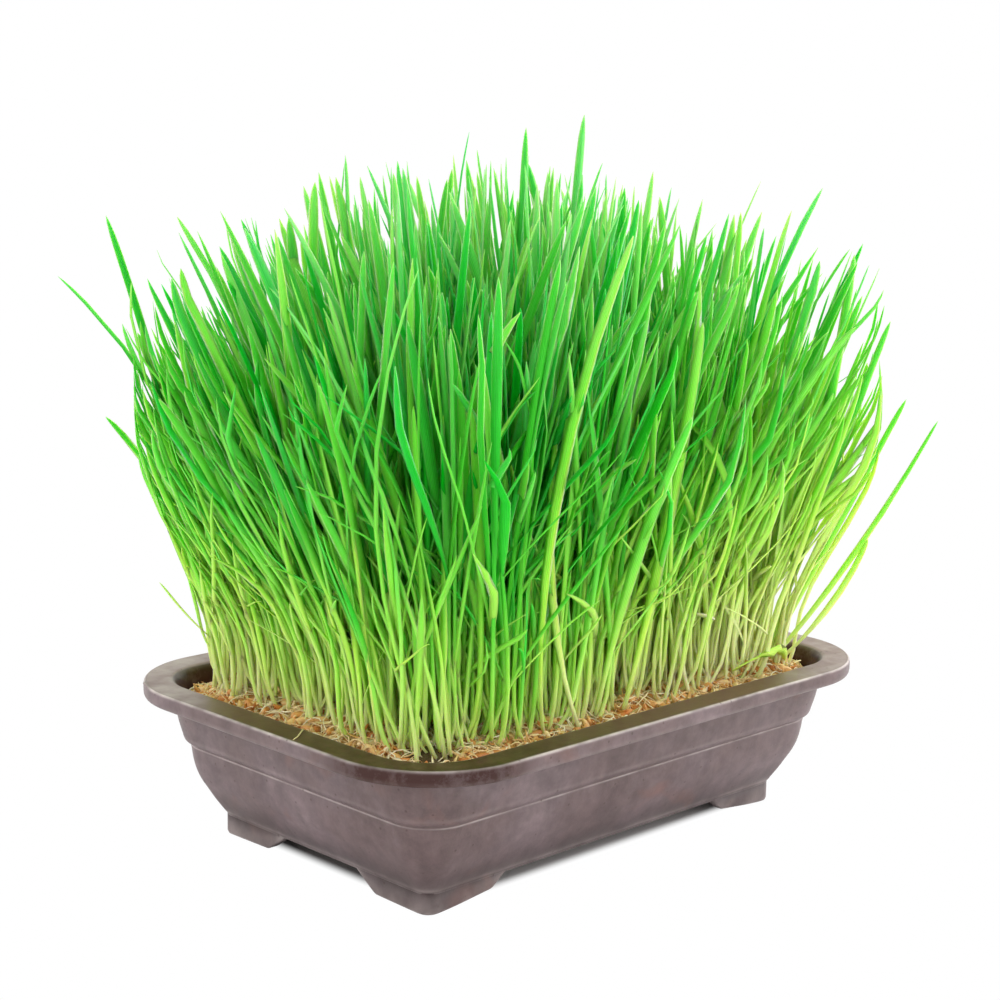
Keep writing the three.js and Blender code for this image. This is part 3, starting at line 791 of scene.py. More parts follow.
# millimetres and radians; leans are millimetres out per millimetre up
grassSpec = {
    "columns": 7,
    "rows": 5,
    "halfLength": 103,
    "halfWidth": 67.5,
    "rootInset": 1.0,
    "rootDepth": 1.5,
    "cornerRound": 22,
    "spacing": 3.65,
    "rowRatio": 0.866,
    "jitter": 1.1,
    # how far the stand's sides have moved out at its top, and the height where they start to
    "fan": {"left": 16, "right": 21, "back": 15, "front": 18},
    "fanStart": {"left": 22, "right": 13, "back": 24, "front": 13},
    "midBulge": 12,
    "fanRun": 80,
    "standRound": 26,
    "upright": 25,
    # the middle to a corner, and about the cosine of 45 degrees
    "diagonal": 112,
    "slant": 0.71,
    "leanLeft": 0.44,
    "leanRight": 0.41,
    "leanToFront": 0.14,
    "wildShare": 0.3,
    "wildSpread": 0.26,
    "calmSpread": 0.11,
    "bentShare": 0.14,
    "bend": (5, 16),
    "hook": 4.4,
    "hookHeight": 9,
    "canopyTop": 243,
    "frontBackCurve": 0.0014,
    "rightSlope": 0.2,
    "rightCurve": 0.0003,
    "leftCurve": 0.0019,
    "tipReach": 150,
    "tipSpill": (20, 18),
    "borderWidth": 16,
    "tallShare": (0.45, 0.62),
    "tallRange": (38, 50),
    "lowShare": (0.35, 0.88),
    "tipLength": (9, 30),
    "twistShare": 0.2,
    "twist": (0.5, 1.6),
    "sheath": (0.2, 0.46),
    "droopShare": 0.07,
    "droop": (0, 2),
    "longDroop": (6, 20),
    "looseShare": 0.06,
    "slack": (4.0, 16.0),
    # the younger leaves: where they part from the stem, how far they reach and how they hang
    "leafStart": (0.2, 0.5),
    "leafReach": (0.3, 0.62),
    "leafSpread": (2.2, 9.5),
    "leafDrop": 7,
    "leafTurn": 0.7,
    "mostTip": 0.6,
    "bladeWidth": (2.5, 5.3),
    "stemWidth": (1.3, 2.1),
    "bladeDepth": 0.5,
    "bladeFold": 0.3,
    "colourHeight": 180,
    "thinBorder": 6,
    "borderGaps": 0.3,
    # x, y and reach
    "barePatches": [(-2, -69, 9), (26, -70, 6), (48, -70, 5), (-36, -71, 5.5), (72, -69, 5), (-105, 10, 9),
                    (-105, 30, 6.5), (-106, -12, 6), (-105, -30, 5), (-105, 48, 4.5)],
}


def fanAmount(x, y, height):
    # how far the stand's edges have moved out at a height: less at the left and right corners
    spec = grassSpec
    fan = {side: fadeIn(height, spec["fanStart"][side], spec["fanRun"]) for side in spec["fan"]}
    shareX = x / spec["halfLength"]
    shareY = y / spec["halfWidth"]
    bulge = spec["midBulge"]
    alongX = np.where(x > 0, fan["right"] * (spec["fan"]["right"] + 0.5 * bulge * smoothStep(0.9 + shareY)),
                      fan["left"] * (spec["fan"]["left"] + bulge * smoothStep(0.9 - shareY)))
    alongY = np.where(y > 0, fan["back"] * (spec["fan"]["back"] + 0.5 * bulge * smoothStep(0.9 + shareX)),
                      fan["front"] * (spec["fan"]["front"] + 0.5 * bulge * smoothStep(0.9 - shareX)))
    return alongX, alongY


def leaningHeight(height):
    # a shoot stands upright near its root and is straight above: sqrt((h/2 - u/2)^2 + 30) + (h - u)/2
    beyond = (height - grassSpec["upright"]) / 2
    start = -grassSpec["upright"] / 2
    return np.sqrt(beyond ** 2 + 30) + beyond - np.sqrt(start ** 2 + 30) - start


def leanRoom(x, y, leanX, leanY, length):
    # how much of its lean a shoot can keep in x and in y and stay inside the stand's outline up to its tip
    shares = []
    for root, other, lean, half, side in ((x, y, leanX, grassSpec["halfLength"], 0),
                                          (y, x, leanY, grassSpec["halfWidth"], 1)):
        room = np.full(len(x), 1.0)
        for part in (0.35, 0.5, 0.65, 0.8, 1.0):
            height = length * part
            places = (half * np.sign(lean), other) if side == 0 else (other, half * np.sign(lean))
            free = half + fanAmount(*places, height)[side] - root * np.sign(lean)
            room = np.minimum(room, np.maximum(free, 2) / np.maximum(np.abs(lean) * leaningHeight(height), 2))
        shares.append(room)
    return shares


def heldIn(x, y, height, slack):
    # a leaf that would reach past the stand's rounded outline at its height turns back along it:
    # the distance outside is squeezed to at most the slack
    spec = grassSpec
    fanX, fanY = fanAmount(x, y, height)
    radius = spec["standRound"]
    overX = np.maximum(np.abs(x) - (spec["halfLength"] + 1 + fanX - radius), 0)
    overY = np.maximum(np.abs(y) - (spec["halfWidth"] + 1 + fanY - radius), 0)
    distance = np.hypot(overX, overY)
    outside = np.maximum(distance - radius, 0)
    kept = radius + slack * (1 - np.exp(-outside / slack))
    share = np.where(distance > radius, kept / np.maximum(distance, 1e-6), 1)
    return x - np.sign(x) * overX * (1 - share), y - np.sign(y) * overY * (1 - share)


def topAbove(x, y):
    # height of the stand's top: a low dome that falls most toward the front right corner
    spec = grassSpec
    across = (x - y) * np.sqrt(0.5)
    right = spec["rightSlope"] * across + spec["rightCurve"] * across ** 2
    fall = np.where(across > 0, right, spec["leftCurve"] * across ** 2)
    return spec["canopyTop"] - fall - spec["frontBackCurve"] * (x + y) ** 2 / 2


def takeShoots(s, chosen):
    # every value of the chosen shoots only
    return {key: value[chosen] for key, value in s.items()}


def plantShoots(seed):
    # a jittered triangular grid over the rounded bed, and every shoot's own habit
    spec = grassSpec
    draw = np.random.default_rng(seed)
    halfX = spec["halfLength"] - spec["rootInset"]
    halfY = spec["halfWidth"] - spec["rootInset"]
    rows = np.arange(-halfY, halfY + 0.1, spec["spacing"] * spec["rowRatio"])
    columns = np.arange(-halfX, halfX + 0.1, spec["spacing"])
    x, y = np.meshgrid(columns, rows)
    x = x + (np.arange(len(rows)) % 2)[:, None] * spec["spacing"] / 2
    x = (x + draw.normal(0, spec["jitter"], x.shape)).reshape(-1)
    y = (y + draw.normal(0, spec["jitter"], y.shape)).reshape(-1)
    radius = spec["cornerRound"]
    dx = np.maximum(np.abs(x) - (halfX - radius), 0)
    dy = np.maximum(np.abs(y) - (halfY - radius), 0)
    keep = np.hypot(dx, dy) < radius
    x, y = x[keep], y[keep]
    count = len(x)
    # shares of the way to the front right and to the front left corner
    slant = spec["slant"]
    toRight = (x * slant - y * slant) / spec["diagonal"]
    toFront = -(x * slant + y * slant) / spec["diagonal"]
    farRight = np.clip(toRight, 0, 1)
    farLeft = np.clip(-toRight, 0, 1)
    leanAcross = np.where(toRight < 0, -spec["leanLeft"] * fadeIn(np.abs(toRight), 0.08, 0.55),
                          spec["leanRight"] * farRight ** 1.6)
    leanFront = spec["leanToFront"] * toFront
    spread = np.where(draw.random(count) < spec["wildShare"], spec["wildSpread"], spec["calmSpread"])
    leanX = slant * (leanAcross - leanFront) + draw.normal(0, 1, count) * spread
    leanY = -slant * (leanAcross + leanFront) + draw.normal(0, 1, count) * spread
    # the stand is highest in the middle, and its shorter shoots fill it from below
    farX = spec["halfLength"] + spec["tipSpill"][0]
    farY = spec["halfWidth"] + spec["tipSpill"][1]
    tipX = np.clip(x + spec["tipReach"] * leanX, -farX, farX)
    tipY = np.clip(y + spec["tipReach"] * leanY, -farY, farY)
    top = topAbove(tipX, tipY) - bedSpec["edgeZ"]
    # fewer tall ones along the border, so that leaf tips show at every height
    isTall = draw.random(count) < np.where(edgeDistance(x, y) < spec["borderWidth"], *spec["tallShare"])
    drop, climb = spec["tallRange"]
    tall = top - drop + climb * draw.random(count) ** 1.5
    length = np.where(isTall, tall, top * draw.uniform(*spec["lowShare"], count))
    # a shoot that would lean out too far is shorter first, and then steeper
    roomX, roomY = leanRoom(x, y, leanX, leanY, length)
    length = length * np.clip(np.minimum(roomX, roomY), 0.7, 1)
    roomX, roomY = leanRoom(x, y, leanX, leanY, length)
    leanX = leanX * roomX
    leanY = leanY * roomY
    narrowing = 0.55 + 0.45 * np.clip((length - 50) / 110, 0, 1)
    straight, bent = spec["bend"]
    even, twisted = spec["twist"]
    held, loose = spec["slack"]
    bend = np.where(draw.random(count) < spec["bentShare"], bent, straight)
    shoots = {
        "x": x,
        "y": y,
        "length": length,
        "leanX": leanX,
        "leanY": leanY,
        "bendX": draw.normal(0, 1, count) * bend,
        "bendY": draw.normal(0, 1, count) * bend,
        "hookX": draw.normal(0, spec["hook"], count),
        "hookY": draw.normal(0, spec["hook"], count),
        "turn": draw.uniform(0, np.pi, count),
        "twist": draw.normal(0, 1, count) * np.where(draw.random(count) < spec["twistShare"], twisted, even),
        "width": draw.uniform(*spec["bladeWidth"], count) * narrowing,
        "stem": draw.uniform(*spec["stemWidth"], count),
        # towards the right and left corners the shoots are painted fresher and paler, painted light from the
        # side; the random part is each shoot's own colour
        "tint": np.clip(draw.random(count) * 0.95 + 0.24 - 0.55 * farRight - 0.3 * farLeft, 0, 1),
        "cool": draw.random(count) ** 1.6,
        "pale": 0.84 + 1.25 * farRight + 0.6 * farLeft + draw.normal(0, 0.14, count),
        "sheath": draw.uniform(*spec["sheath"], count),
        "tip": draw.uniform(*spec["tipLength"], count),
        "droop": np.where(draw.random(count) < spec["droopShare"], draw.uniform(*spec["longDroop"], count),
                          draw.uniform(*spec["droop"], count)),
        "slack": np.where(draw.random(count) < spec["looseShare"], loose, held),
    }
    # thinner along the border, and none in the bare patches, so that husks show between the stems
    patches = np.array(spec["barePatches"])
    isBare = (np.hypot(x[:, None] - patches[:, 0], y[:, None] - patches[:, 1]) < patches[:, 2]).any(axis=1)
    isThinned = np.random.default_rng(seeds["gaps"]).random(count) < spec["borderGaps"]
    isBare |= (edgeDistance(x, y) < spec["thinBorder"]) & isThinned
    return takeShoots(shoots, ~isBare), draw


def shootLine(s, t):
    # centre line of each shoot at shares t of its length: upright at the root and leaning above,
    # plus a bend that grows with the square of the height, a hook near the root that fades out,
    # and a droop near the tip, all held inside the stand's outline
    t = np.atleast_2d(t)
    column = {key: value[:, None] for key, value in s.items()}
    height = column["length"] * t
    bend = t ** 2
    hook = np.exp(-height / grassSpec["hookHeight"]) - 1
    droop = column["droop"] * np.clip((t - 0.6) / 0.4, 0, 1) ** 2
    heading = 7 * column["tint"] * np.pi
    leaning = leaningHeight(height)
    x = (column["x"] + column["leanX"] * leaning + column["bendX"] * bend + column["hookX"] * hook
         + droop * np.cos(heading))
    y = (column["y"] + column["leanY"] * leaning + column["bendY"] * bend + column["hookY"] * hook
         + droop * np.sin(heading))
    x, y = heldIn(x, y, height, column["slack"])
    root = matHeight(s["x"], s["y"])[:, None] - grassSpec["rootDepth"]
    return np.stack([x, y, root + height - 0.7 * droop], axis=-1)


def shootLineAt(s, shares):
    # shootLine for a different set of shares on every shoot: worked out on a fine grid and interpolated
    fine = np.linspace(0, 1.15, 47)
    grid = shootLine(s, fine)
    place = shares / fine[-1] * (len(fine) - 1)
    low = np.floor(place).astype(int).clip(0, len(fine) - 2)
    part = (place - low)[..., None]
    rows = np.arange(len(s["x"]))[:, None]
    return grid[rows, low] * (1 - part) + grid[rows, low + 1] * part


def sectionFrame(line, turn):
    # side and up across a line: a level heading turned by each ring's own angle
    along = np.gradient(line, axis=1)
    along /= np.linalg.norm(along, axis=-1, keepdims=True)
    level = np.stack([np.cos(turn), np.sin(turn), np.zeros_like(turn)], -1)
    side = level - along * np.sum(level * along, axis=-1, keepdims=True)
    side /= np.linalg.norm(side, axis=-1, keepdims=True)
    return side, np.cross(along, side)


def ringShares(body, tip):
    # shares of a blade's length for its rings: the body's up to where the tip starts, and three for the tip
    below = np.array(body)[None] * (1 - tip)
    return np.concatenate([below, 1 - tip * np.array([0.55, 0.2, 0.0])[None]], axis=1)


def bladeTaper(t):
    # a blade narrows a little towards its tip, and its last three rings make a short blunt point
    narrowing = 1 - 0.32 * np.clip((t - 0.55) / 0.45, 0, 1) ** 1.3
    return narrowing * np.concatenate([np.ones(t.shape[-1] - 3), [0.86, 0.54, 0.08]])


def mainBlades(s):
    # stem and upright leaf in one body: round and narrow below, then flat, with a short tip
    t = ringShares([0, 0.04, 0.1, 0.19, 0.31, 0.46, 0.63, 0.82, 1.0], (s["tip"] / s["length"])[:, None])
    line = shootLine(s, t)
    side, up = sectionFrame(line, s["turn"][:, None] + s["twist"][:, None] * t)
    flat = fadeIn(t, s["sheath"][:, None], 0.42)
    taper = bladeTaper(t)
    stem = s["stem"][:, None]
    width = ((1 - flat) * stem + flat * s["width"][:, None]) * taper / 2
    depth = ((1 - flat) * stem * 0.42 + flat * grassSpec["bladeDepth"] / 2) * np.sqrt(taper)
    return line, side, up, width, depth, flat * width * grassSpec["bladeFold"]


def sideLeaves(s, draw):
    # the younger leaf: parts from the stem part way up, and leans away a little
    spec = grassSpec
    count = len(s["x"])
    start = draw.uniform(*spec["leafStart"], count)
    reach = draw.uniform(*spec["leafReach"], count)
    away = draw.uniform(0, 2 * np.pi, count)
    spread = draw.gamma(*spec["leafSpread"], count)
    tip = np.minimum(s["tip"] / s["length"] / reach, spec["mostTip"])[:, None]
    u = ringShares([0, 0.1, 0.28, 0.5, 0.75, 1.0], tip)
    column = {key: value[:, None] for key, value in s.items()}
    stem = shootLineAt(s, start[:, None] + u * reach[:, None])
    lateral = spread[:, None] * u ** 1.15
    drop = draw.uniform(0, spec["leafDrop"], count)[:, None] * u ** 3
    line = stem + np.stack([lateral * np.cos(away)[:, None], lateral * np.sin(away)[:, None], -drop], -1)
    heights = line[..., 2] - bedSpec["edgeZ"]
    line[..., 0], line[..., 1] = heldIn(line[..., 0], line[..., 1], heights, column["slack"])
    turn = away[:, None] + np.pi / 2 + draw.normal(0, spec["leafTurn"], count)[:, None] * u
    side, up = sectionFrame(line, turn)
    opening = smoothStep(u / 0.3)
    taper = bladeTaper(u)
    width = ((1 - opening) * column["stem"] * 0.7 + opening * column["width"] * 0.8) * taper / 2
    depth = np.full_like(width, spec["bladeDepth"] / 2) * np.sqrt(taper)
    return line, side, up, width, depth, width * spec["bladeFold"]


# leaves that stand clear of the rest: root x, y, then a point on the way and the tip,
# and width, tint, cool and how long the stem stays pale
strayLeaves = [
    ((-88, 57), (-101, 74, 152), (-131, 103, 207), 3.2, 0.7, 0.5, 1),
    ((-90, 59), (-104, 78, 165), (-118, 91, 229), 3.4, 0.9, 0.3, 1),
    ((-90, 60), (-97, 71, 111), (-119, 92, 156), 3.4, 0.5, 0.7, 1),
    ((-84, 52), (-97, 70, 137), (-110, 84, 187), 4.2, 0.4, 0.3, 1),
    ((-44, 34), (-47, 39, 200), (-48, 41, 252), 3.4, 0.7, 0.4, 1),
    ((-8, 12), (-7, 8, 200), (-7, 7, 251), 2.2, 0.7, 0.2, 1),
    ((2, 4), (1, -1, 200), (2, -2, 263), 3.8, 0.9, 0.2, 1),
    ((12, -8), (14, -14, 200), (17, -17, 268), 5.0, 0.8, 0.6, 1),
    ((30, -20), (34, -28, 190), (40, -31, 248), 3.4, 0.3, 0.5, 1),
    ((66, -48), (75, -60, 201), (88, -73, 243), 3.2, 1.0, 0.8, 1),
    ((88, -56), (103, -73, 180), (106, -76, 218), 4.4, 0.4, 0.4, 1),
    ((86, -54), (104, -75, 143), (116, -87, 193), 3.6, 0.4, 0.6, 1),
    ((88, -55), (105, -76, 115), (122, -92, 163), 3.0, 0.4, 0.5, 1.2),
    ((89, -56), (105, -75, 91), (131, -101, 155), 2.8, 0.5, 0.4, 1.2),
    ((91, -57), (100, -70, 73), (113, -84, 108), 3.0, 0.3, 0.6, 1.3),
    ((-74, -61), (-88, -47, 96), (-101, -34, 122), 3.4, 0.05, 0.9, 1.4),
    ((-64, -62), (-85, -43, 120), (-119, -9, 209), 3.2, 0.05, 0.6, 1),
    ((-92, -64), (-112, -56, 128), (-120, -24, 172), 4.0, 0.0, 0.9, 1),
    ((-101, -60), (-106, -52, 99), (-112, -40, 124), 3.6, 0.05, 0.9, 1),
    ((-48, -66), (-62, -84, 150), (-34, -88, 228), 4.4, 0.0, 0.1, 1),
    ((36, -64), (58, -84, 160), (92, -88, 192), 4.6, 0.05, 0.4, 1),
    ((-100, -50), (-119, -36, 185), (-119, -4, 210), 4.6, 0.1, 1.0, 1),
    ((-99, -54), (-118, -45, 151), (-119, -61, 186), 3.6, 0.6, 0.5, 1),
    ((-94, -62), (-119, -60, 170), (-117, -76, 219), 3.0, 0.1, 0.6, 1),
    ((-100, -40), (-118, -40, 160), (-119, -33, 194), 4.0, 0.0, 0.0, 1),
    ((-8, -66), (0, -85, 164), (3, -88, 198), 4.6, 0.0, 0.1, 1),
    ((-98, 10), (-115, 13, 118), (-146, 19, 172), 3.8, 0.2, 0.6, 1),
    ((-97, -38), (-114, -44, 130), (-140, -56, 184), 3.6, 0.4, 0.3, 1),
    ((98, 10), (115, 12, 120), (146, 16, 168), 3.8, 0.3, 0.5, 1),
    ((10, 64), (13, 82, 130), (18, 110, 178), 3.8, 0.4, 0.5, 1),
    ((-20, -64), (-22, -84, 120), (-26, -109, 170), 3.8, 0.1, 0.8, 1),
    ((96, -58), (80, -69, 66), (48, -71, 64), 5.4, 0.0, 0.1, 0.55),
    ((30, -66), (25, -69, 89), (38, -70, 85), 2.6, 0.0, 0.2, 6),
    ((-32, -69), (-44, -71, 78), (-48, -69, 168), 3.4, 0.1, 0.4, 1.6),
]


def makeStrays():
    # each stray follows the parabola through its root, its way point and its tip
    t = np.array([0, 0.05, 0.12, 0.22, 0.34, 0.48, 0.64, 0.8, 0.92, 0.96, 0.985, 1.0])
    rootX, rootY = np.array([leaf[0] for leaf in strayLeaves], dtype=float).T
    root = np.stack([rootX, rootY, matHeight(rootX, rootY) - grassSpec["rootDepth"]], axis=-1)
    way = np.array([leaf[1] for leaf in strayLeaves], dtype=float)
    tip = np.array([leaf[2] for leaf in strayLeaves], dtype=float)
    width, tint, cool, pale = np.array([leaf[3:] for leaf in strayLeaves]).T
    before = np.linalg.norm(way - root, axis=1)
    share = (before / (before + np.linalg.norm(tip - way, axis=1)))[:, None]
    # the curve's handle, chosen so that the curve is at the way point at its share
    handle = (way - (1 - share) ** 2 * root - share ** 2 * tip) / (2 * share * (1 - share))
    u = t[None, :, None]
    line = (1 - u) ** 2 * root[:, None] + 2 * u * (1 - u) * handle[:, None] + u ** 2 * tip[:, None]
    outward = np.arctan2(way[:, 1], way[:, 0])
    heading = outward[:, None] + 0.35 + 0.6 * np.sin(9 * tint[:, None] + 2 * t[None])
    side, up = sectionFrame(line, heading)
    flat = fadeIn(t, 0.12, 0.35)[None]
    taper = bladeTaper(t[None])
    halfWidth = ((1 - flat) * 1.8 + flat * width[:, None]) * taper / 2
    depth = ((1 - flat) * 0.8 + flat * grassSpec["bladeDepth"] / 2) * np.sqrt(taper) + halfWidth * 0
    fold = flat * halfWidth * grassSpec["bladeFold"]
    return (line, side, up, halfWidth, depth, fold), (tint, cool, pale)


def leafMesh(name, blades, habit, material):
    # A four-pointed section: the two edges, the ridge below and the midrib above. The colour runs with
    # the height above the mat, slower on the shoots with a long pale stem, and on the shoots towards the
    # right and left corners it is painted paler as painted light. The attribute "leaf" has the tint, that
    # height and the place across the blade, and "cast" how bluish the leaf is
    corners = 4
    heights = blades[0][..., 2] - bedSpec["edgeZ"]
    tubeCount, ringCount = heights.shape
    points, faces = closedTubes(*blades, corners)
    piece = addMesh(name, points * mm, faces, material)
    tint, cool, pale = [value[:, None] for value in habit]
    along = np.clip(heights / grassSpec["colourHeight"], 0, 1) ** pale
    tint, cool, along = [tubeValues(value, ringCount, corners) for value in (tint, cool, along)]
    angles = np.cos(np.arange(corners) * 2 * np.pi / corners)
    acrossOne = np.concatenate([np.tile(angles, ringCount), [0, 0]]) * 0.5 + 0.5
    addPointColours(piece, "leaf", tint, along, np.tile(acrossOne, tubeCount))
    addPointColours(piece, "cast", cool)
    return piece


# sRGB colours from the root to the tip of a fresh, a deep green and a bluish leaf
leafSpec = {
    "fresh": [(0.0, "#f4fab8"), (0.05, "#e2fa90"), (0.16, "#cefa66"), (0.34, "#aef056"), (0.6, "#88e446"),
              (0.9, "#9ae662"), (1.0, "#b0ea7a")],
    "deep": [(0.0, "#ecf4a4"), (0.05, "#cef474"), (0.16, "#9cec54"), (0.34, "#40ca38"), (0.6, "#06b41e"),
             (0.9, "#16ba30"), (1.0, "#38c44c")],
    "cool": [(0.0, "#f0f8b8"), (0.05, "#dcf898"), (0.16, "#aaf06e"), (0.34, "#60de58"), (0.6, "#46cc5c"),
             (0.9, "#66d278"), (1.0, "#8ce092")],
    "coolShare": 0.62,
    "veinTone": (0.86, 1.1),
}


def youngWheatLeaf():
    # Living wheat leaf: a thin waxy blade with parallel veins. The sheath is nearly white at the seed,
    # goes through yellow-green, and the blade is fresh to deep green, some with a bluish bloom.
    spec = leafSpec
    material, tree, shader = newMaterial("young_wheat_leaf")
    leaf = addNode(tree, "Attribute", attribute_name="leaf")
    parts = addNode(tree, "SeparateColor", links={"Color": leaf})
    cast = addNode(tree, "Attribute", attribute_name="cast")
    castParts = addNode(tree, "SeparateColor", links={"Color": cast})
    colours = {}
    for habit in ("fresh", "deep", "cool"):
        ramp = addNode(tree, "ValToRGB", links={"Fac": parts.outputs["Green"]})
        setRamp(ramp, spec[habit])
        colours[habit] = ramp
    warm = addNode(tree, "Mix",
                   links={"Factor": parts.outputs["Red"], "A": colours["fresh"], "B": colours["deep"]},
                   data_type="RGBA")
    coolShare = addNode(tree, "Math", {1: spec["coolShare"]}, {0: castParts.outputs["Red"]},
                        operation="MULTIPLY")
    colour = addNode(tree, "Mix",
                     links={"Factor": coolShare, "A": warm.outputs["Result"], "B": colours["cool"]},
                     data_type="RGBA")
    # seven veins across the blade
    veinAngle = addNode(tree, "Math", {1: 44.0}, {0: parts.outputs["Blue"]}, operation="MULTIPLY")
    vein = addNode(tree, "Math", links={0: veinAngle}, operation="SINE")
    veinTone = addNode(tree, "MapRange", fromTo(-1.0, 1.0, *spec["veinTone"]), {"Value": vein})
    grey = addNode(tree, "CombineColor", links={channel: veinTone for channel in ("Red", "Green", "Blue")})
    veined = addNode(tree, "Mix", {"Factor": 1.0}, {"A": colour.outputs["Result"], "B": grey},
                     data_type="RGBA", blend_type="MULTIPLY")
    finishSurface(tree, shader, veined.outputs["Result"], vein,
                  {"Strength": 0.25, "Distance": 0.0002},
                  {"Roughness": 0.5, "IOR": 1.42, "Specular IOR Level": 0.02, "Subsurface Weight": 0.9,
                   "Subsurface Radius": (0.8, 1.0, 0.45), "Subsurface Scale": 0.0008})
    return material


def joinMeshes(first, others):
    # the others' meshes go into the first, attributes included
    with bpy.context.temp_override(active_object=first, selected_editable_objects=[first, *others]):
        bpy.ops.object.join()


def cellOf(x, y):
    # the number of the clump that a root stands in
    spec = grassSpec
    column = ((x / spec["halfLength"] + 1) / 2 * spec["columns"]).astype(int)
    row = ((y / spec["halfWidth"] + 1) / 2 * spec["rows"]).astype(int)
    return np.clip(row, 0, spec["rows"] - 1) * spec["columns"] + np.clip(column, 0, spec["columns"] - 1)


print("grass: shoots by clump")
wheatLeaf = youngWheatLeaf()
shoots, grassDraw = plantShoots(seeds["shoots"])
shootCell = cellOf(shoots["x"], shoots["y"])
strayBlades, strayHabit = makeStrays()
strayCell = cellOf(*np.array([leaf[0] for leaf in strayLeaves]).T)
for cell in range(grassSpec["rows"] * grassSpec["columns"]):
    clump = takeShoots(shoots, shootCell == cell)
    count = len(clump["x"])
    name = "_%d_%d" % (cell // grassSpec["columns"] + 1, cell % grassSpec["columns"] + 1)
    habit = (clump["tint"], clump["cool"], clump["pale"])
    stems = leafMesh("grass" + name, mainBlades(clump), habit, wheatLeaf)
    blades = sideLeaves(clump, grassDraw)
    tint = np.clip(clump["tint"] + grassDraw.normal(0, 0.25, count), 0, 1)
    cool = grassDraw.random(count) ** 1.6
    others = [leafMesh("leaves" + name, blades, (tint, cool, clump["pale"]), wheatLeaf)]
    mine = strayCell == cell
    if mine.any():
        blades = [value[mine] for value in strayBlades]
        habit = [value[mine] for value in strayHabit]
        others.append(leafMesh("strays" + name, blades, habit, wheatLeaf))
    joinMeshes(stems, others)
    settle(stems, "grass", "shoots" + name)
print("shoots:", len(shoots["x"]))


# metres, but the shadow's inset and reach in millimetres
stageSpec = {
    "floorHalf": 6.0,
    "floorColour": "#f6f6f6",
    "shadeAtSides": "#f0eeec",
    "shadeAtEnds": "#8c8886",
    "endShadeRun": (0.06, 0.085),
    "shadowInset": 10.5,
    "shadowReach": 7,
    "worldDim": 1.2,
    "worldBright": 1.85,
    "worldTop": 0.75,
    "dimSide": (-0.28, -0.95, 0.1),
    "dimRun": (-0.6, 0.9),
    "topRun": (0.2, 0.9),
    "keyPower": 27,
    "keySize": 1.6,
    "keyPlace": (1.75, -0.4, 1.0),
}


def makeFloor():
    # a wide white sheet under the feet
    spec = stageSpec
    material, tree, shader = newMaterial("white_sweep")
    shader.inputs["Roughness"].default_value = 0.9
    half = spec["floorHalf"]
    floor = addMesh("floor", [(-half, -half, 0), (half, -half, 0), (half, half, 0), (-half, half, 0)],
                    [[0, 1, 2, 3]], material, smooth=False)
    # the camera sees plain white away from the tray, and under it the lit floor with its shadow, deepened by
    # a painted shadow colour
    place = addNode(tree, "TexCoord").outputs["Object"]
    apart = addNode(tree, "VectorMath", links={0: place}, operation="ABSOLUTE")
    footHalf = [(traySpec[side] / 2 - traySpec["footInset"] - spec["shadowInset"]) * mm
                for side in ("length", "width")]
    beyond = addNode(tree, "VectorMath", {1: (*footHalf, 0)}, {0: apart}, operation="SUBTRACT")
    clamped = addNode(tree, "VectorMath", {1: (0, 0, 0)}, {0: beyond}, operation="MAXIMUM")
    distance = addNode(tree, "VectorMath", links={0: clamped}, operation="LENGTH")
    far = addNode(tree, "MapRange", fromTo(0.0, spec["shadowReach"] * mm),
                  {"Value": distance.outputs["Value"]}, interpolation_type="SMOOTHSTEP")
    rays = addNode(tree, "LightPath")
    # painted shadow: for the camera the floor under the tray takes a darker colour, lighter under the tray's
    # long sides than under its ends
    axes = addNode(tree, "SeparateXYZ", links={"Vector": apart})
    atEnd = addNode(tree, "MapRange", fromTo(*spec["endShadeRun"]), {"Value": axes.outputs["X"]},
                    interpolation_type="SMOOTHSTEP")
    shade = addNode(tree, "Mix", {"A": linear(spec["shadeAtSides"]), "B": linear(spec["shadeAtEnds"])},
                    {"Factor": atEnd}, data_type="RGBA")
    tone = addNode(tree, "Mix", {"A": linear(spec["floorColour"])},
                   {"Factor": rays.outputs["Is Camera Ray"], "B": shade.outputs["Result"]},
                   data_type="RGBA")
    tree.links.new(tone.outputs["Result"], shader.inputs["Base Color"])
    seen = addNode(tree, "Math", links={0: far, 1: rays.outputs["Is Camera Ray"]}, operation="MULTIPLY")
    white = addNode(tree, "Emission", {"Color": (1, 1, 1, 1), "Strength": 1.0})
    blend = addNode(tree, "MixShader", links={0: seen, 1: shader, 2: white})
    tree.links.new(blend.outputs["Shader"], tree.nodes["Material Output"].inputs["Surface"])


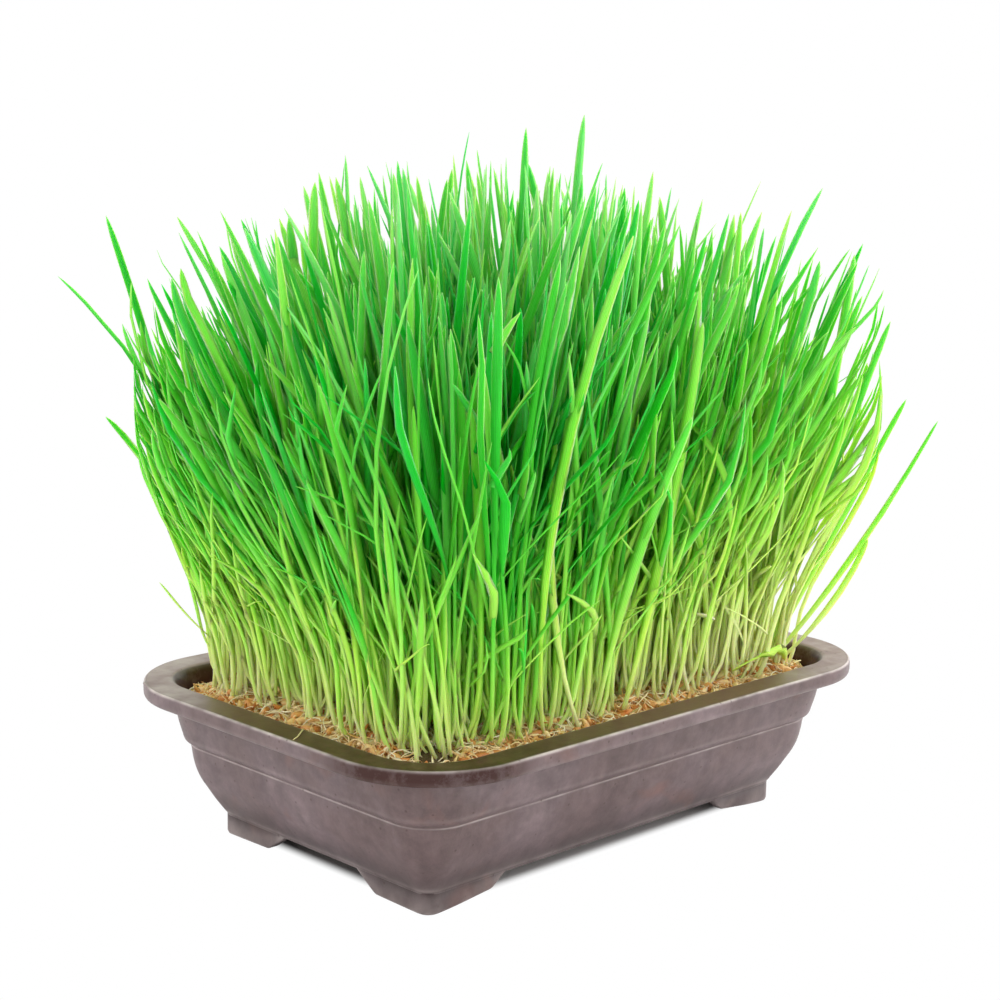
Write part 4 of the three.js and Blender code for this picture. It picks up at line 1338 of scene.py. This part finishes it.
def makeWorld():
    # soft light all round, dimmer from the front right and from overhead, on a white background
    spec = stageSpec
    world = bpy.data.worlds.new("studio")
    bpy.context.scene.world = world
    world.use_nodes = True
    tree = world.node_tree
    tree.nodes.clear()
    heading = addNode(tree, "TexCoord").outputs["Generated"]
    facing = addNode(tree, "VectorMath", {1: spec["dimSide"]}, {0: heading}, operation="DOT_PRODUCT")
    soft = addNode(tree, "MapRange", fromTo(*spec["dimRun"], spec["worldBright"], spec["worldDim"]),
                   {"Value": facing.outputs["Value"]}, interpolation_type="SMOOTHSTEP")
    height = addNode(tree, "SeparateXYZ", links={"Vector": heading})
    overhead = addNode(tree, "MapRange", fromTo(*spec["topRun"], 1.0, spec["worldTop"]),
                       {"Value": height.outputs["Z"]}, interpolation_type="SMOOTHSTEP")
    shaped = addNode(tree, "Math", links={0: soft, 1: overhead}, operation="MULTIPLY")
    rays = addNode(tree, "LightPath")
    seen = addNode(tree, "Math", links={0: rays.outputs["Is Camera Ray"], 1: rays.outputs["Is Glossy Ray"]},
                   operation="MAXIMUM")
    strength = addNode(tree, "Mix", {"B": 1.0}, {"Factor": seen, "A": shaped}, data_type="FLOAT")
    sky = addNode(tree, "Background", {"Color": (1, 1, 1, 1)}, {"Strength": strength})
    addNode(tree, "OutputWorld", links={"Surface": sky})


def stand(name, data, right, up, back, place):
    # a lamp or camera at a place, with its own right, up and back directions
    holder = bpy.data.objects.new(name, data)
    bpy.context.collection.objects.link(holder)
    basis = np.eye(4)
    basis[:3] = np.stack([right, up, back, place], axis=1)
    holder.matrix_world = Matrix(basis.tolist())
    return holder


def makeLamp():
    # one big soft lamp to the right, turned to the middle of the floor
    lamp = bpy.data.lights.new("key", "AREA")
    lamp.energy = stageSpec["keyPower"]
    lamp.size = stageSpec["keySize"]
    place = np.array(stageSpec["keyPlace"])
    back = place / np.linalg.norm(place)
    right = np.cross([0, 0, 1.0], back)
    right /= np.linalg.norm(right)
    stand("key", lamp, right, np.cross(back, right), back, place)


# degrees, and millimetres for the distance, the target and the lens
cameraSpec = {
    "azimuth": -44.59,
    "elevation": 10.1,
    "roll": 1.03,
    "distance": 764.3,
    "target": (14.5, 20.8, 120.0),
    "lens": 70.3,
}


def makeCamera():
    # out from the target by azimuth, elevation and distance, and rolled a little
    spec = cameraSpec
    azimuth, elevation, roll = np.radians([spec["azimuth"], spec["elevation"], spec["roll"]])
    level = np.array([np.cos(azimuth), np.sin(azimuth), 0])
    outward = np.array([np.sin(azimuth), -np.cos(azimuth)]) * np.cos(elevation)
    back = np.array([*outward, np.sin(elevation)])
    above = np.cross(back, level)
    right = np.cos(roll) * level + np.sin(roll) * above
    up = np.cos(roll) * above - np.sin(roll) * level
    place = (np.array(spec["target"]) + back * spec["distance"]) * mm
    lens = bpy.data.cameras.new("camera")
    lens.lens = spec["lens"]
    bpy.context.scene.camera = stand("camera", lens, right, up, back, place)


print("stage: floor, light and camera")
makeFloor()
makeWorld()
makeLamp()
makeCamera()
bpy.context.scene.view_settings.view_transform = "Standard"
